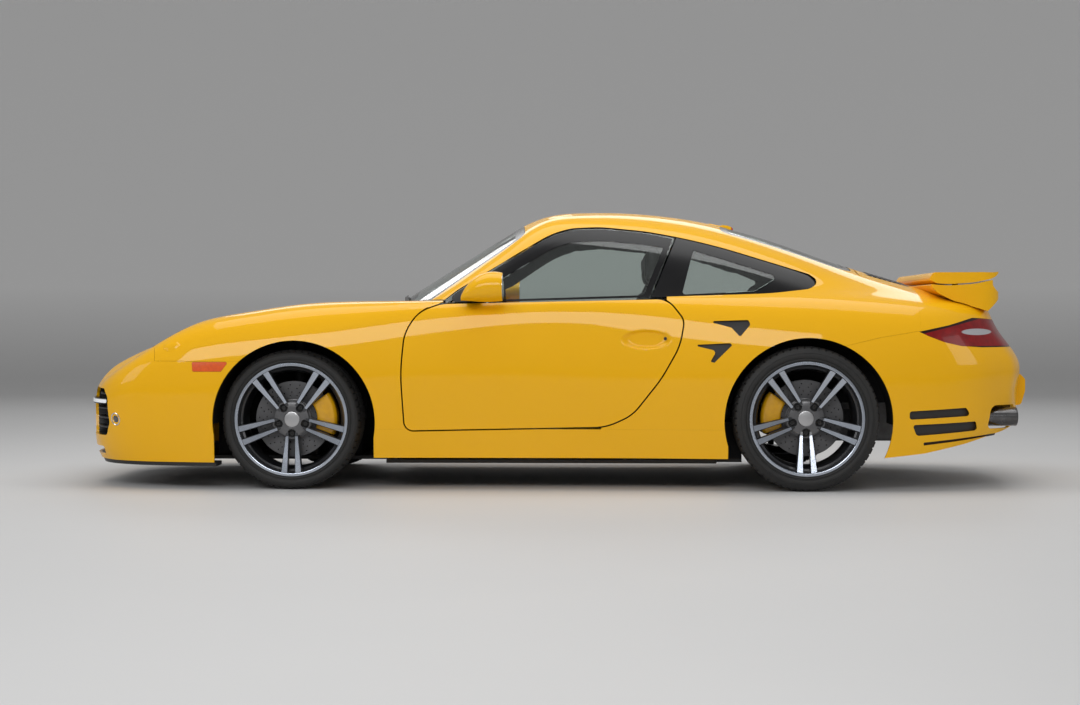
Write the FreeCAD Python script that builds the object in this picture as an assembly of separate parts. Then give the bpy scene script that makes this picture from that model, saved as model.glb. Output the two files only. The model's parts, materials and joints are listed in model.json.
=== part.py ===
import FreeCAD, Part
import math
import os

# A rear-engined two-door coupe car, in millimetres.
# The car faces -X, its left side is at -Y, and it stands on Z = 0.
# Pieces are drawn by station: millimetres behind the front axle. save() moves them to the car's frame,
# whose origin lies on the floor under the middle of the car's box.

# Driving dimensions of the whole car
WHEELBASE = 2350.0
FRONT_OVERHANG = 1025.0
REAR_OVERHANG = 1075.0
FRONT_TRACK = 1490.0
REAR_TRACK = 1548.0

# Shut lines between panels
SHUT_GAP = 6.8
HINGE_GAP = 12.0
SEAT_GAP = 0.3
FIXED_SEAM = 0.8
FOOT_SEAM = 1.2
GLASS_FOOT_SEAM = 4.0
RUNNING_GAP = 5.0
PIN_GAP = 0.6

# Sheet thicknesses
PANEL = 12.0
ROOF_THICKNESS = 26.0
GLASS = 5.0
BUMPER = 14.0
LAMP_DEPTH = 70.0

# Wheel arches: station of the centre, height of the centre, radius
FRONT_ARCH = (15.0, 311.0, 372.0)
REAR_ARCH = (WHEELBASE + 8.0, 316.0, 380.0)

V = FreeCAD.Vector
ORIGIN_STATION = (WHEELBASE + REAR_OVERHANG - FRONT_OVERHANG) / 2
AXLE_SIDE = V(0, 1, 0)


# Curves and blends

def spline(*points):
    """Natural cubic curve through (station, value) points, straight beyond both ends."""
    xs = [p[0] for p in points]
    ys = [p[1] for p in points]
    last = len(xs) - 1
    step = [xs[i + 1] - xs[i] for i in range(last)]
    slope = [(ys[i + 1] - ys[i]) / step[i] for i in range(last)]
    bend = [0.0] * (last + 1)
    pivots = [0.0] * (last + 1)
    for i in range(1, last):
        share = step[i - 1] / pivots[i - 1] if i > 1 else 0.0
        pivots[i] = 2 * (step[i - 1] + step[i]) - share * step[i - 1]
        bend[i] = 6 * (slope[i] - slope[i - 1]) - share * bend[i - 1]
    for i in range(last - 1, 0, -1):
        bend[i] = (bend[i] - step[i] * bend[i + 1]) / pivots[i]
    first_slope = slope[0] - step[0] * bend[1] / 6
    last_slope = slope[-1] + step[-1] * bend[-2] / 6

    def value(x):
        if x <= xs[0]:
            return ys[0] + first_slope * (x - xs[0])
        if x >= xs[-1]:
            return ys[-1] + last_slope * (x - xs[-1])
        i = 0
        while x > xs[i + 1]:
            i += 1
        a = (xs[i + 1] - x) / step[i]
        b = 1 - a
        curl = (a ** 3 - a) * bend[i] + (b ** 3 - b) * bend[i + 1]
        return a * ys[i] + b * ys[i + 1] + curl * step[i] ** 2 / 6
    return value


def smooth_max(a, b, blend):
    """The larger of two values, rounded where they are within blend of each other."""
    near = max(blend - abs(a - b), 0.0) / blend
    return max(a, b) + near ** 3 * blend / 6


def smooth_min(a, b, blend):
    return -smooth_max(-a, -b, blend)


def ramp(x, start, end):
    """Smooth rise from 0 at start to 1 at end."""
    t = min(1.0, max(0.0, (x - start) / (end - start)))
    return t * t * t * (10 + t * (6 * t - 15))


# The body's surface. Each curve runs along the car by station.
# Half widths of the side at four heights
WIDTH_HEIGHTS = (140, 350, 600, 850)
width_at_sill = spline((-700, 815), (-360, 868), (0, 886), (400, 850), (850, 834), (1350, 834),
                       (1700, 850), (2000, 884), (2350, 900), (2750, 885), (3200, 800))
width_at_door = spline((-700, 860), (-360, 890), (0, 900), (400, 874), (850, 852), (1350, 852),
                       (1700, 872), (2000, 904), (2350, 921), (2750, 905), (3200, 830))
width_at_bulge = spline((-700, 850), (-360, 882), (0, 902), (400, 884), (850, 862), (1350, 860),
                        (1700, 880), (2000, 912), (2350, 926), (2750, 908), (3200, 835))
width_at_waist = spline((-700, 740), (-360, 800), (0, 836), (400, 836), (850, 826), (1350, 826),
                        (1700, 838), (2000, 862), (2350, 868), (2750, 838), (3200, 760))
# Heights of the lower body's top: on the centre line and along the crown of the fenders
hood_line = spline((-1030, 462), (-967, 526), (-869, 590), (-771, 636), (-600, 694), (-400, 742),
                   (-150, 786), (150, 820), (350, 838), (480, 848), (900, 870), (2350, 880), (3300, 800))
crown_line = spline((-1000, 462), (-700, 634), (-560, 718), (-416, 777), (-315, 799), (-174, 822),
                    (14, 849), (201, 861), (388, 864), (600, 866), (1000, 876), (1500, 892),
                    (2000, 905), (2400, 900), (2800, 872), (3100, 838), (3300, 815))
crown_blend = spline((-1000, 160), (-300, 200), (200, 220), (500, 170), (900, 130), (1500, 150),
                     (2000, 240), (2600, 260), (3000, 200), (3300, 120))
CROWN_START = 300.0
CROWN_END = 640.0
# The ends in plan: where each starts to curve round, how square it is, and its reach at each height
NOSE_START = -360.0
NOSE_SQUARENESS = 3.7
TAIL_START = 2750.0
TAIL_SQUARENESS = 3.0
nose_reach = spline((110, -990), (160, -1012), (240, -1022), (320, -1025), (420, -1025), (560, -1018),
                    (900, -1000))
tail_reach = spline((150, 3240), (230, 3330), (300, 3372), (450, 3385), (570, 3395), (640, 3360),
                    (720, 3300), (800, 3262), (900, 3240))
# The greenhouse: roof line, drop of the roof towards its sides, half width at the waist
roof_line = spline((380, 830), (560, 946), (755, 1068), (900, 1158), (1033, 1235), (1160, 1283),
                   (1330, 1300), (1480, 1300), (1680, 1287), (1880, 1259), (2130, 1199), (2380, 1118),
                   (2600, 1040), (2830, 966), (3006, 911), (3250, 838))
roof_drop = spline((380, 60), (800, 60), (1200, 62), (1700, 70), (2300, 90), (2700, 90), (3200, 60))
ROOF_DROP_AT = 600.0
glass_foot = spline((300, 640), (500, 700), (800, 745), (1200, 766), (1700, 766), (2100, 742),
                    (2400, 702), (2700, 655), (3000, 610), (3300, 560))
cant_blend = spline((300, 60), (800, 80), (1100, 130), (1500, 220), (2000, 260), (2500, 260), (3200, 260))
waist_blend = spline((300, 30), (1700, 30), (2000, 60), (2300, 140), (2700, 200), (3300, 200))
WAIST = 870.0
GLASS_LEAN = 0.40
GLASS_CURVE = 0.00042
GLASS_UPRIGHT_BELOW = -60.0
SCREEN_SWEEP = 90.0
SCREEN_SWEEP_AT = 700.0


def side_width(s, z):
    widths = (width_at_sill(s), width_at_door(s), width_at_bulge(s), width_at_waist(s))
    return max(60.0, spline(*zip(WIDTH_HEIGHTS, widths))(z))


def rounded_end(along, y, width, squareness):
    """Distance past a superellipse end, where along is 0 at its start and 1 at its tip."""
    return ((along ** squareness + (y / width) ** squareness) ** (1 / squareness) - 1) * width


def sides(s, y, z):
    width = side_width(s, z)
    if s < NOSE_START:
        along = (NOSE_START - s) / max(60.0, NOSE_START - nose_reach(z))
        return rounded_end(along, y, width, NOSE_SQUARENESS)
    if s > TAIL_START:
        along = (s - TAIL_START) / max(60.0, tail_reach(z) - TAIL_START)
        return rounded_end(along, y, width, TAIL_SQUARENESS)
    return y - width


def lower_body(s, y, z):
    y = abs(y)
    crown = ramp(y, CROWN_START, CROWN_END)
    top = z - (hood_line(s) * (1 - crown) + crown_line(s) * crown)
    return smooth_max(top, sides(s, y, z), crown_blend(s))


def greenhouse(s, y, z):
    y = abs(y)
    sweep = SCREEN_SWEEP * (y / SCREEN_SWEEP_AT) ** 2 * (1 - ramp(s, 900, 1300))
    top = z - (roof_line(s - sweep) - roof_drop(s) * (y / ROOF_DROP_AT) ** 2)
    rise = smooth_max(z - WAIST, GLASS_UPRIGHT_BELOW, 120)
    side = y - (glass_foot(s) - GLASS_LEAN * rise - GLASS_CURVE * rise * max(rise, 0))
    cabin = smooth_max(top, side, cant_blend(s))
    if s > TAIL_START:
        return smooth_max(cabin, sides(s, y, z), 60)
    return cabin


def body(s, y, z):
    """Negative inside the car's outer surface, positive outside."""
    return smooth_min(lower_body(s, y, z), greenhouse(s, y, z), waist_blend(s))


# Sheets over the surface

def surface_point(shape, start, direction, reach):
    """Where a ray from inside the car leaves the surface, searched from its far end."""
    step = reach / 60
    far = reach
    while far > step and shape(*(start + direction * far)) > 0:
        far -= step
    near = far
    far = near + step
    for _ in range(16):
        middle = (near + far) / 2
        if shape(*(start + direction * middle)) > 0:
            far = middle
        else:
            near = middle
    return start + direction * near


def outward(shape, point):
    reach = 2.0
    x, y, z = point
    normal = V(shape(x + reach, y, z) - shape(x - reach, y, z),
               shape(x, y + reach, z) - shape(x, y - reach, z),
               shape(x, y, z + reach) - shape(x, y, z - reach))
    return normal.normalize()


def pace(rows):
    """Parameters for a set of like rows of points: mean distance along them, from 0 to 1."""
    count = len(rows[0])
    total = [0.0] * count
    for row in rows:
        lengths = [(row[i] - row[i - 1]).Length for i in range(1, count)]
        whole = sum(lengths)
        run = 0.0
        for i in range(1, count):
            run += lengths[i - 1]
            total[i] += run / whole
    return [t / total[-1] for t in total]


def threads(rows, parameters):
    """One cubic curve through each row, all with the same knots."""
    curves = []
    for row in rows:
        curve = Part.BSplineCurve()
        curve.interpolate(Points=row, Parameters=parameters)
        curves.append(curve)
    return curves


def surface_face(grid):
    """A smooth surface through a grid of points: curves along the rows, then across their poles."""
    columns = list(zip(*grid))
    along = threads(grid, pace(grid))
    pole_rows = list(zip(*[curve.getPoles() for curve in along]))
    across = threads([list(row) for row in pole_rows], pace(columns))
    poles = [curve.getPoles() for curve in across]
    surface = Part.BSplineSurface()
    surface.buildFromPolesMultsKnots(poles, along[0].getMultiplicities(), across[0].getMultiplicities(),
                                     along[0].getKnots(), across[0].getKnots(), False, False, 3, 3)
    return surface


def border(surface):
    u0, u1, v0, v1 = surface.bounds()
    curves = (surface.uIso(u0), surface.vIso(v1), surface.uIso(u1), surface.vIso(v0))
    return [curve.toShape() for curve in curves]


def sheet(shape, grid, outer_depth, inner_depth):
    """A solid between two depths under the surface, over a grid of surface points."""
    normals = [[outward(shape, p) for p in row] for row in grid]
    skins = []
    for depth in (outer_depth, inner_depth):
        moved = [[p - n * depth for p, n in zip(*rows)] for rows in zip(grid, normals)]
        skins.append(surface_face(moved))
    faces = [skin.toShape() for skin in skins]
    for outer, inner in zip(border(skins[0]), border(skins[1])):
        faces.append(Part.makeRuledSurface(outer, inner))
    shell = Part.Shell(faces)
    shell.sewShape()
    solid = Part.Solid(shell)
    if solid.Volume < 0:
        solid.reverse()
    return solid


def around_axis(shape, stations, angles, height):
    """Rays square to a long axis at a height. Angle 0 points left, 90 up, 180 right."""
    grid = []
    for s in stations:
        row = []
        for angle in angles:
            turn = math.radians(angle)
            direction = V(0, -math.cos(turn), math.sin(turn))
            row.append(surface_point(shape, V(s, 0, height), direction, 1150))
        grid.append(row)
    return grid


def around_point(shape, centre, headings, climbs, facing):
    """Rays from a point. Heading 0 points to the nose (facing -1) or tail (facing 1), 90 to the left."""
    grid = []
    for heading in headings:
        row = []
        for climb in climbs:
            turn, lift = math.radians(heading), math.radians(climb)
            level = math.cos(lift)
            direction = V(facing * math.cos(turn) * level, -math.sin(turn) * level, math.sin(lift))
            row.append(surface_point(shape, centre, direction, 1450))
        grid.append(row)
    return grid


def from_above(shape, stations, offsets, base):
    grid = []
    for s in stations:
        grid.append([surface_point(shape, V(s, y, base), V(0, 0, 1), 900) for y in offsets])
    return grid


def spread(start, end, count):
    return [start + (end - start) * i / (count - 1) for i in range(count)]


# Outlines

def rounded_loop(corners, grow=0.0):
    """Corners (a, b, radius), counter-clockwise, pushed outwards by grow. Gives lines and arcs as
    points: each corner is (start of arc, middle of arc, end of arc)."""
    count = len(corners)
    sides_of = []
    for i in range(count):
        a0, b0 = corners[i][:2]
        a1, b1 = corners[(i + 1) % count][:2]
        length = math.hypot(a1 - a0, b1 - b0)
        along = ((a1 - a0) / length, (b1 - b0) / length)
        out = (along[1], -along[0])
        sides_of.append(((a0 + out[0] * grow, b0 + out[1] * grow), along, out))
    arcs = []
    for i in range(count):
        (p0, p1), (d0, d1), out0 = sides_of[i - 1]
        (q0, q1), (e0, e1), out1 = sides_of[i]
        cross = d0 * e1 - d1 * e0
        t = ((q0 - p0) * e1 - (q1 - p1) * e0) / cross
        corner = (p0 + d0 * t, p1 + d1 * t)
        turn = math.atan2(cross, d0 * e0 + d1 * e1)
        radius = corners[i][2]
        if radius:
            radius = max(1.0, radius + math.copysign(grow, turn))
        cut = radius * abs(math.tan(turn / 2))
        start = (corner[0] - d0 * cut, corner[1] - d1 * cut)
        end = (corner[0] + e0 * cut, corner[1] + e1 * cut)
        halfway = ((start[0] + end[0]) / 2, (start[1] + end[1]) / 2)
        push = radius * (1 - math.cos(turn / 2))
        gap = math.hypot(corner[0] - halfway[0], corner[1] - halfway[1])
        middle = halfway
        if gap > 1e-6:
            middle = (halfway[0] + (corner[0] - halfway[0]) / gap * push,
                      halfway[1] + (corner[1] - halfway[1]) / gap * push)
        arcs.append((start, middle, end, radius > 0 and cut > 0.01))
    return arcs


def outline_face(corners, grow, place):
    arcs = rounded_loop(corners, grow)
    edges = []
    for i, (start, middle, end, is_round) in enumerate(arcs):
        if is_round:
            edges.append(Part.Arc(place(start), place(middle), place(end)).toShape())
        following = arcs[(i + 1) % len(arcs)][0]
        if math.hypot(following[0] - end[0], following[1] - end[1]) > 0.01:
            edges.append(Part.makeLine(place(end), place(following)))
    return Part.Face(Part.Wire(edges))


def side_prism(corners, y0, y1, grow=0.0):
    """An outline of (station, height, radius) corners carried from y0 to y1."""
    face = outline_face(corners, grow, lambda p: V(p[0], y0, p[1]))
    return face.extrude(V(0, y1 - y0, 0))


def plan_prism(corners, z0, z1, grow=0.0):
    """An outline of (station, y, radius) corners carried from z0 to z1."""
    face = outline_face(corners, grow, lambda p: V(p[0], p[1], z0))
    return face.extrude(V(0, 0, z1 - z0))


def end_prism(corners, s0, s1, grow=0.0):
    """An outline of (y, height, radius) corners carried from station s0 to s1."""
    face = outline_face(corners, grow, lambda p: V(s0, p[0], p[1]))
    return face.extrude(V(s1 - s0, 0, 0))


def box(s0, s1, y0, y1, z0, z1):
    return Part.makeBox(s1 - s0, y1 - y0, z1 - z0, V(s0, y0, z0))


def side_cylinder(s, z, radius, y0, y1):
    return Part.makeCylinder(radius, y1 - y0, V(s, y0, z), AXLE_SIDE)


def mirrored(shape):
    """The same piece on the car's other side."""
    return shape.mirror(V(0, 0, 0), V(0, 1, 0))


def mirror_pair(shape):
    return Part.makeCompound([shape, mirrored(shape)])


def solids(shape):
    """Only the solids of a boolean's result, largest first."""
    found = sorted(shape.Solids, key=lambda s: -s.Volume)
    return found


def largest(shape):
    return solids(shape)[0]


os.makedirs("parts", exist_ok=True)


def save(name, shape):
    moved = shape.copy()
    moved.translate(V(-ORIGIN_STATION, 0, 0))
    moved.exportStep("parts/" + name + ".step")



# Sizes of the running gear
FRONT_TYRE = {"radius": 320.0, "width": 235.0, "rim": 247.0}
REAR_TYRE = {"radius": 329.0, "width": 300.0, "rim": 247.0}
FRONT_AXLE = (0.0, FRONT_TYRE["radius"])
REAR_AXLE = (WHEELBASE, REAR_TYRE["radius"])
# Distance of each wheel's mounting face outwards from the middle of its tyre
FRONT_HUB_FACE = 56.0
REAR_HUB_FACE = 51.0
RIM_LIP = 260.0
RIM_WALL = 9.0
HUB_RADIUS = 84.0
SPOKE_PAIRS = 5
# Half spacing and width of a pair of spokes at the hub and at the rim
SPOKE_INNER = (21.0, 24.0)
SPOKE_OUTER = (32.0, 30.0)
SPOKE_DEPTH = 30.0
BOLT_CIRCLE = 130.0
BOLT_HOLE = 15.0
BOLT_POCKET = (36.0, 12.0)
CENTRE_BORE = 71.5
CAP_THICKNESS = 6.0
STUB_RADIUS = 29.0
DISC_RADIUS = 175.0
DISC_THICKNESS = 34.0
DISC_HAT_RADIUS = 88.0
DISC_WALL = 7.0
DISC_DROP = 30.0
CALIPER_OUTER = 204.0
CALIPER_INNER = 112.0
CALIPER_SPAN = 58.0
CALIPER_FACE = 28.0
CALIPER_BACK = 36.0
FRONT_CALIPER_BEARING = 8.0
REAR_CALIPER_BEARING = 172.0
KINGPIN_SIDE = 700.0
KNUCKLE_RADIUS = 62.0
LUG_REACH = 145.0
DAMPER_SIDE = 560.0
DAMPER_RADIUS = 25.0

# Side view outlines: station, height, corner radius
DOOR = [(524, 272, 40), (1440, 290, 260), (1560, 345, 200), (1690, 510, 600), (1775, 660, 300),
        (1795, 775, 60), (1720, 872, 100), (690, 850, 150), (585, 812, 150), (524, 715, 200), (508, 533, 900)]
WINDOW_OPENING = [(668, 850, 12), (1780, 884, 2000), (2200, 899, 1500), (2384, 920, 80), (2430, 955, 22),
                  (2384, 990, 60), (1872, 1147, 3000), (1621, 1191, 900), (1415, 1211, 600),
                  (1280, 1205, 300), (1180, 1178, 400), (757, 917, 600)]
DOOR_INNER_FACE = 745.0
DOOR_SKIN = 18.0
DOOR_FRAME_INSET = 15.0
DOOR_GLASS_DEPTH = 3.0
GLASS_REAR_TOP = (1763, 1163)
GLASS_REAR_FOOT = (1644, 878)
QUARTER_GLASS = [(1790, 893, 12), (2128, 909, 14), (2240, 978, 16), (1846, 1101, 8)]
HANDLE = [(1532, 684, 6), (1640, 672, 60), (1728, 690, 12), (1732, 708, 8), (1640, 716, 60), (1536, 700, 6)]
HANDLE_PROUD = 15.0
SAIL_END = 880.0
SAIL_THICKNESS = 12.0
# The mirror's housing: ovals along the car as station, distance from the middle, height, half sizes
MIRROR_SECTIONS = [(784, 902, 876, 22, 12), (822, 902, 905, 56, 42), (880, 899, 923, 73, 64),
                   (940, 897, 928, 77, 68), (972, 897, 927, 73, 64)]
SILL_FOOT = 146.0
SILL_INNER_FACE = 690.0

# Wheel houses, floor and cabin
LINER_REACH = 8.0
LINER = 6.0
FRONT_WELL = 446.0
REAR_WELL = 600.0
WELL_WALL_FOOT = 392.0
FLOOR_FOOT = 112.0
FLOOR_THICKNESS = 16.0
CABIN_FLOOR = FLOOR_FOOT + FLOOR_THICKNESS
FLOOR_PLAN = [(-700, -430, 20), (400, -430, 0), (420, -SILL_INNER_FACE + SEAT_GAP, 0),
              (1950, -SILL_INNER_FACE + SEAT_GAP, 0), (1960, -592, 0), (2074, -592, 0), (2074, 592, 0),
              (1960, 592, 0), (1950, SILL_INNER_FACE - SEAT_GAP, 0), (420, SILL_INNER_FACE - SEAT_GAP, 0), (400, 430, 0),
              (-700, 430, 20)]
FIREWALL = 470.0
TUB_WALL = 14.0
REAR_BULKHEAD = 2060.0
BULKHEAD_TOP = 720.0
CABIN_HALF = 684.0
TUNNEL_HALF = 110.0
TUNNEL_TOP = 330.0
HEEL_TOP = 300.0
LUGGAGE_SIDE = [(-560, 300, 10), (300, 300, 10), (300, 785, 0), (-560, 665, 0)]
LUGGAGE_WALL = 5.0
DASHBOARD = [(FIREWALL + TUB_WALL + SEAT_GAP, 600, 0), (620, 560, 30), (820, 545, 60), (905, 640, 60),
             (890, 760, 50), (800, 834, 60), (640, 822, 40), (FIREWALL + TUB_WALL + SEAT_GAP, 790, 0)]
BINNACLE = [(700, 780, 10), (880, 770, 20), (866, 884, 30), (720, 872, 60)]
CONSOLE = [(790, TUNNEL_TOP + SEAT_GAP, 0), (1690, TUNNEL_TOP + SEAT_GAP, 0), (1690, 430, 20), (1260, 440, 100),
           (880, 590, 60), (790, 600, 0)]
CONSOLE_HALF = 92.0
STEERING_SIDE = 370.0
STEERING_CENTRE = (985.0, 742.0)
STEERING_TILT = 24.0
STEERING_RADIUS = 182.0
STEERING_GRIP = 15.0
SEAT_SIDE = 370.0
SEAT_CUSHION = [(1110, 235, 30), (1600, 215, 20), (1640, 330, 40), (1400, 345, 200), (1120, 385, 40)]
SEAT_BACK = [(1500, 325, 40), (1640, 300, 30), (1730, 880, 100), (1690, 965, 60), (1605, 950, 40),
             (1585, 860, 120)]
SEAT_HEAD = [(1620, 930, 10), (1700, 945, 10), (1700, 1131, 26), (1628, 1129, 26)]
SEAT_HALF_WIDTH = 250.0
HEAD_HALF_WIDTH = 135.0
REAR_SEAT_CUSHION = [(1790, HEEL_TOP + SEAT_GAP, 10), (2040, HEEL_TOP + SEAT_GAP, 10), (2040, 400, 30),
                     (1800, 430, 30)]
REAR_SEAT_BACK = [(1970, 380, 30), (REAR_BULKHEAD - SEAT_GAP, 380, 10), (REAR_BULKHEAD - SEAT_GAP, 750, 20),
                  (2010, 750, 30)]
REAR_SEAT_HALF_WIDTH = 190.0
ENGINE_START = 2450.0
ENGINE_HALF = 380.0
MUFFLER = {"s": 3125.0, "radius": 60.0, "half_length": 688.0}

# Wing: side outlines and plan
WING_BLADE = [(2940, 966, 12), (2979, 946, 60), (3041, 943, 300), (3154, 951, 300), (3246, 971, 120),
              (3284, 1003, 2), (3238, 998, 60), (3097, 1001, 300), (2962, 998, 20)]
WING_BASE = [(2948, 944, 4), (2975, 905, 100), (3062, 862, 200), (3215, 818, 4), (3257, 858, 200),
             (3293, 893, 4), (3258, 915, 60), (3239, 938, 20), (3239, 963, 4), (3154, 945, 300), (3041, 937, 300),
             (2980, 940, 40)]
WING_PLAN = [(2936, -600, 40), (3272, -600, 90), (3298, 0, 3000), (3272, 600, 90), (2936, 600, 40),
             (2878, 0, 1800)]
WING_CLEARANCE = 6.0
WING_POST = {"s": 3100.0, "side": 350.0, "radius": 14.0, "length": 96.0}

# Hinges: station and height of each axis. The doors turn about an upright axis near their skin.
DOOR_HINGE = {"s": 613.0, "side": 852.0, "heights": (440.0, 620.0), "pin": 5.0, "eye": 10.0, "arm": 28.0,
              "pocket": 42.0, "reach": 107.0}
HINGE_POST = {"start": 484.0, "end": 640.0, "inner": 690.0, "outer": 738.0, "foot": 290.0, "top": 800.0}
FRONT_LID_HINGE = (440.0, 800.0)
REAR_LID_HINGE = (2560.0, 1002.0)
HINGE_PIN = 5.0
HINGE_EYE = 12.0
NECK_THICKNESS = 16.0
# The lids' swan necks, from the pin to the lid, as steps behind or ahead of the pin and above it
FRONT_NECK = [(0, 0), (-32, -100), (-86, -116), (-128, -62), (-162, 34)]
REAR_NECK = [(0, 0), (24, -76), (66, -88), (100, -44), (124, 12)]

# Plan outlines: station, y, corner radius, for the whole width
FRONT_LID = [(-776, -170, 60), (-738, -320, 160), (-600, -410, 300), (-350, -480, 600), (0, -552, 900),
             (330, -600, 40), (330, 600, 40), (0, 552, 900), (-350, 480, 600), (-600, 410, 300),
             (-738, 320, 160), (-776, 170, 60)]
FRONT_LID_GAP = 8.0
COWL_HALF = 604.0
# Everything behind this line and above its height is fender and lid, the rest is bumper
BUMPER_LINE = [(-784, -175, 60), (-746, -325, 160), (-690, -560, 200), (-655, -720, 200), (-600, -1000, 0),
               (900, -1000, 0), (900, 1000, 0), (-600, 1000, 0), (-655, 720, 200), (-690, 560, 200),
               (-746, 325, 160), (-784, 175, 60)]
BUMPER_TOP = 588.0
FENDER_FOOT = 278.0
HEADLAMP = {"y": 655.0, "z": 674.0, "half_width": 104.0, "half_height": 107.0, "lean": 14.0}
WINDSCREEN_OPENING = [(380, -690, 0), (660, -645, 60), (1062, -548, 60), (1030, 0, 2600),
                      (1062, 548, 60), (660, 645, 60), (380, 690, 0)]
ENGINE_LID = [(2640, -430, 60), (3080, -476, 120), (3186, -430, 60), (3214, 0, 2400),
              (3186, 430, 60), (3080, 476, 120), (2640, 430, 60)]
REAR_WINDOW_OPENING = [(1985, -440, 50), (2610, -400, 90), (2610, 400, 90), (1985, 440, 50)]
ROOF_END = 1960.0
# The high brake lamp's housing, from the roof's rear edge out over the glass: station, half width, rise
ROOF_HOUSING = [(1936, 18, 2), (1950, 22, 5), (2000, 24, 6), (2014, 26, 13), (2036, 27, 16), (2056, 26, 14),
                (2064, 22, 8)]
HOUSING_LIFT = 1.2
HOUSING_FOOT = 16.0
QUARTER_END = 2868.0
BUMPER_SIDE = [(2380, 60, 0), (3600, 60, 0), (3600, 652, 0), (3167, 651, 0), (3058, 658, 0), (2975, 676, 60),
               (2905, 702, 60), (2855, 725, 12), (2677, 696, 0), (2543, 664, 0), (2380, 625, 0)]
BUMPER_FOOT = [(2300, 0, 0), (3700, 0, 0), (3700, 345, 0), (3330, 276, 0), (3082, 212, 0), (2884, 172, 0),
               (2700, 152, 0), (2300, 152, 0)]
TAIL_LAMP = [(2860, 723, 0), (2905, 703, 60), (2975, 676, 60), (3058, 659, 0), (3167, 652, 0), (3420, 652, 0),
             (3420, 764, 0), (3167, 784, 20), (3128, 786, 20), (3003, 752, 0)]
TAIL_LAMP_INNER = 400.0
UPPER_INTAKE = [(2048, 700, 8), (2096, 756, 12), (2086, 777, 10), (1930, 772, 4), (1926, 764, 4),
                (2010, 742, 20)]
LOWER_INTAKE = [(1914, 588, 5), (1932, 583, 5), (2012, 662, 4), (2004, 672, 3), (1857, 665, 2), (1857, 657, 2),
                (1942, 637, 14)]
REAR_VENTS = ([(2812, 326, 12), (3104, 340, 12), (3080, 378, 14), (2812, 364, 12)],
              [(2846, 252, 18), (3140, 272, 14), (3130, 314, 10), (2826, 302, 10)],
              [(2879, 208, 4), (3241, 246, 4), (3241, 254, 4), (2879, 222, 4)])
SIDE_MARKER = [(-448, 541, 6), (-316, 541, 6), (-283, 584, 6), (-452, 584, 6)]
# The front intakes as seen from ahead: y, height, corner radius
OUTER_INTAKE = [(-738, 300, 30), (-700, 238, 30), (-420, 238, 30), (-388, 330, 60), (-408, 425, 30),
                (-470, 462, 40), (-712, 458, 30), (-748, 420, 24)]
CENTRE_INTAKE = [(-330, 214, 26), (330, 214, 26), (306, 322, 26), (-306, 322, 26)]
LIP_INTAKE = [(-640, 150, 12), (640, 150, 12), (652, 186, 12), (-652, 186, 12)]
OUTER_INTAKE_END = -790.0
EXHAUST = {"y": 620.0, "z": 330.0, "half_width": 72.0, "half_height": 44.0, "wall": 4.0, "start": 3180.0,
           "end": 3338.0}
EXHAUST_CUT = [(-712, 276, 30), (-528, 276, 30), (-528, 384, 30), (-712, 384, 30)]
OVERRIDER = [(3330, 370, 12), (3405, 374, 20), (WHEELBASE + REAR_OVERHANG, 440, 60),
             (WHEELBASE + REAR_OVERHANG, 496, 16), (3402, 520, 14), (3330, 524, 12)]
OVERRIDER_SIDE = (300.0, 400.0)


# Sheets that the panels are cut from

roof_rows = (420, 520, 640, 720, 800, 900, 1000, 1080, 1130, 1180, 1230, 1300, 1400, 1600, 1800, 1990)
roof_angles = (27, 31, 36, 42, 50, 60, 75, 90, 105, 120, 130, 138, 144, 149, 153)
roof_grid = around_axis(greenhouse, roof_rows, roof_angles, 450)
side_rows = (430, 560, 700, 850, 1000, 1150, 1300, 1450, 1600, 1760, 1850)
side_angles = (-17, -10, -3, 4, 11, 17, 22, 26, 29.5)
side_grid = around_axis(lower_body, side_rows, side_angles, 450)
fender_rows = (-745, -715, -680, -640, -590, -530, -440, -320, -180, -40, 110, 260, 410, 560, 700)
fender_angles = (-16, -7, 2, 10, 17, 23, 29, 35, 40, 45, 50, 55, 61, 70)
fender_grid = around_axis(lower_body, fender_rows, fender_angles, 450)
quarter_rows = (1420, 1540, 1640, 1740, 1840, 1940, 2050, 2170, 2300, 2430, 2560, 2680, 2780, 2875)
quarter_angles = (-17, -9, 0, 8, 14, 19, 23, 26.5, 30, 34, 39, 45, 52, 60, 70, 80, 90)
quarter_grid = around_axis(body, quarter_rows, quarter_angles, 450)
nose_half = (10, 21, 30, 37, 43, 49, 55, 62, 72, 84, 96)
nose_headings = [-h for h in reversed(nose_half)] + [0] + list(nose_half)
nose_climbs = (-20, -13, -6, 1, 7, 13, 19, 25, 31, 37)
nose_grid = around_point(lower_body, V(-300, 0, 350), nose_headings, nose_climbs, -1)
tail_half = (12, 23, 32, 38, 43, 48, 54, 62, 73, 85, 97)
tail_headings = [-h for h in reversed(tail_half)] + [0] + list(tail_half)
tail_climbs = (-21, -17.5, -14, -10.5, -7, -1, 5, 9, 13, 17, 20.5, 24, 27, 29.5, 32, 36, 41, 46)
tail_grid = around_point(body, V(2500, 0, 450), tail_headings, tail_climbs, 1)
lid_rows = (-800, -740, -660, -560, -440, -300, -150, 0, 150, 345)
lid_offsets = (-640, -560, -470, -370, -240, -100, 0, 100, 240, 370, 470, 560, 640)
lid_grid = from_above(lower_body, lid_rows, lid_offsets, 150)
cowl_grid = from_above(lower_body, spread(335, 770, 6), spread(-740, 740, 15), 400)
screen_rows = (440, 540, 660, 790, 900, 990, 1040, 1080, 1115)
screen_grid = from_above(greenhouse, screen_rows, spread(-690, 690, 13), 500)
deck_rows = (1975, 2100, 2250, 2400, 2550, 2650, 2760, 2880, 2980, 3060, 3130, 3180, 3215)
deck_offsets = (-500, -440, -350, -230, -110, 0, 110, 230, 350, 440, 500)
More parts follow.
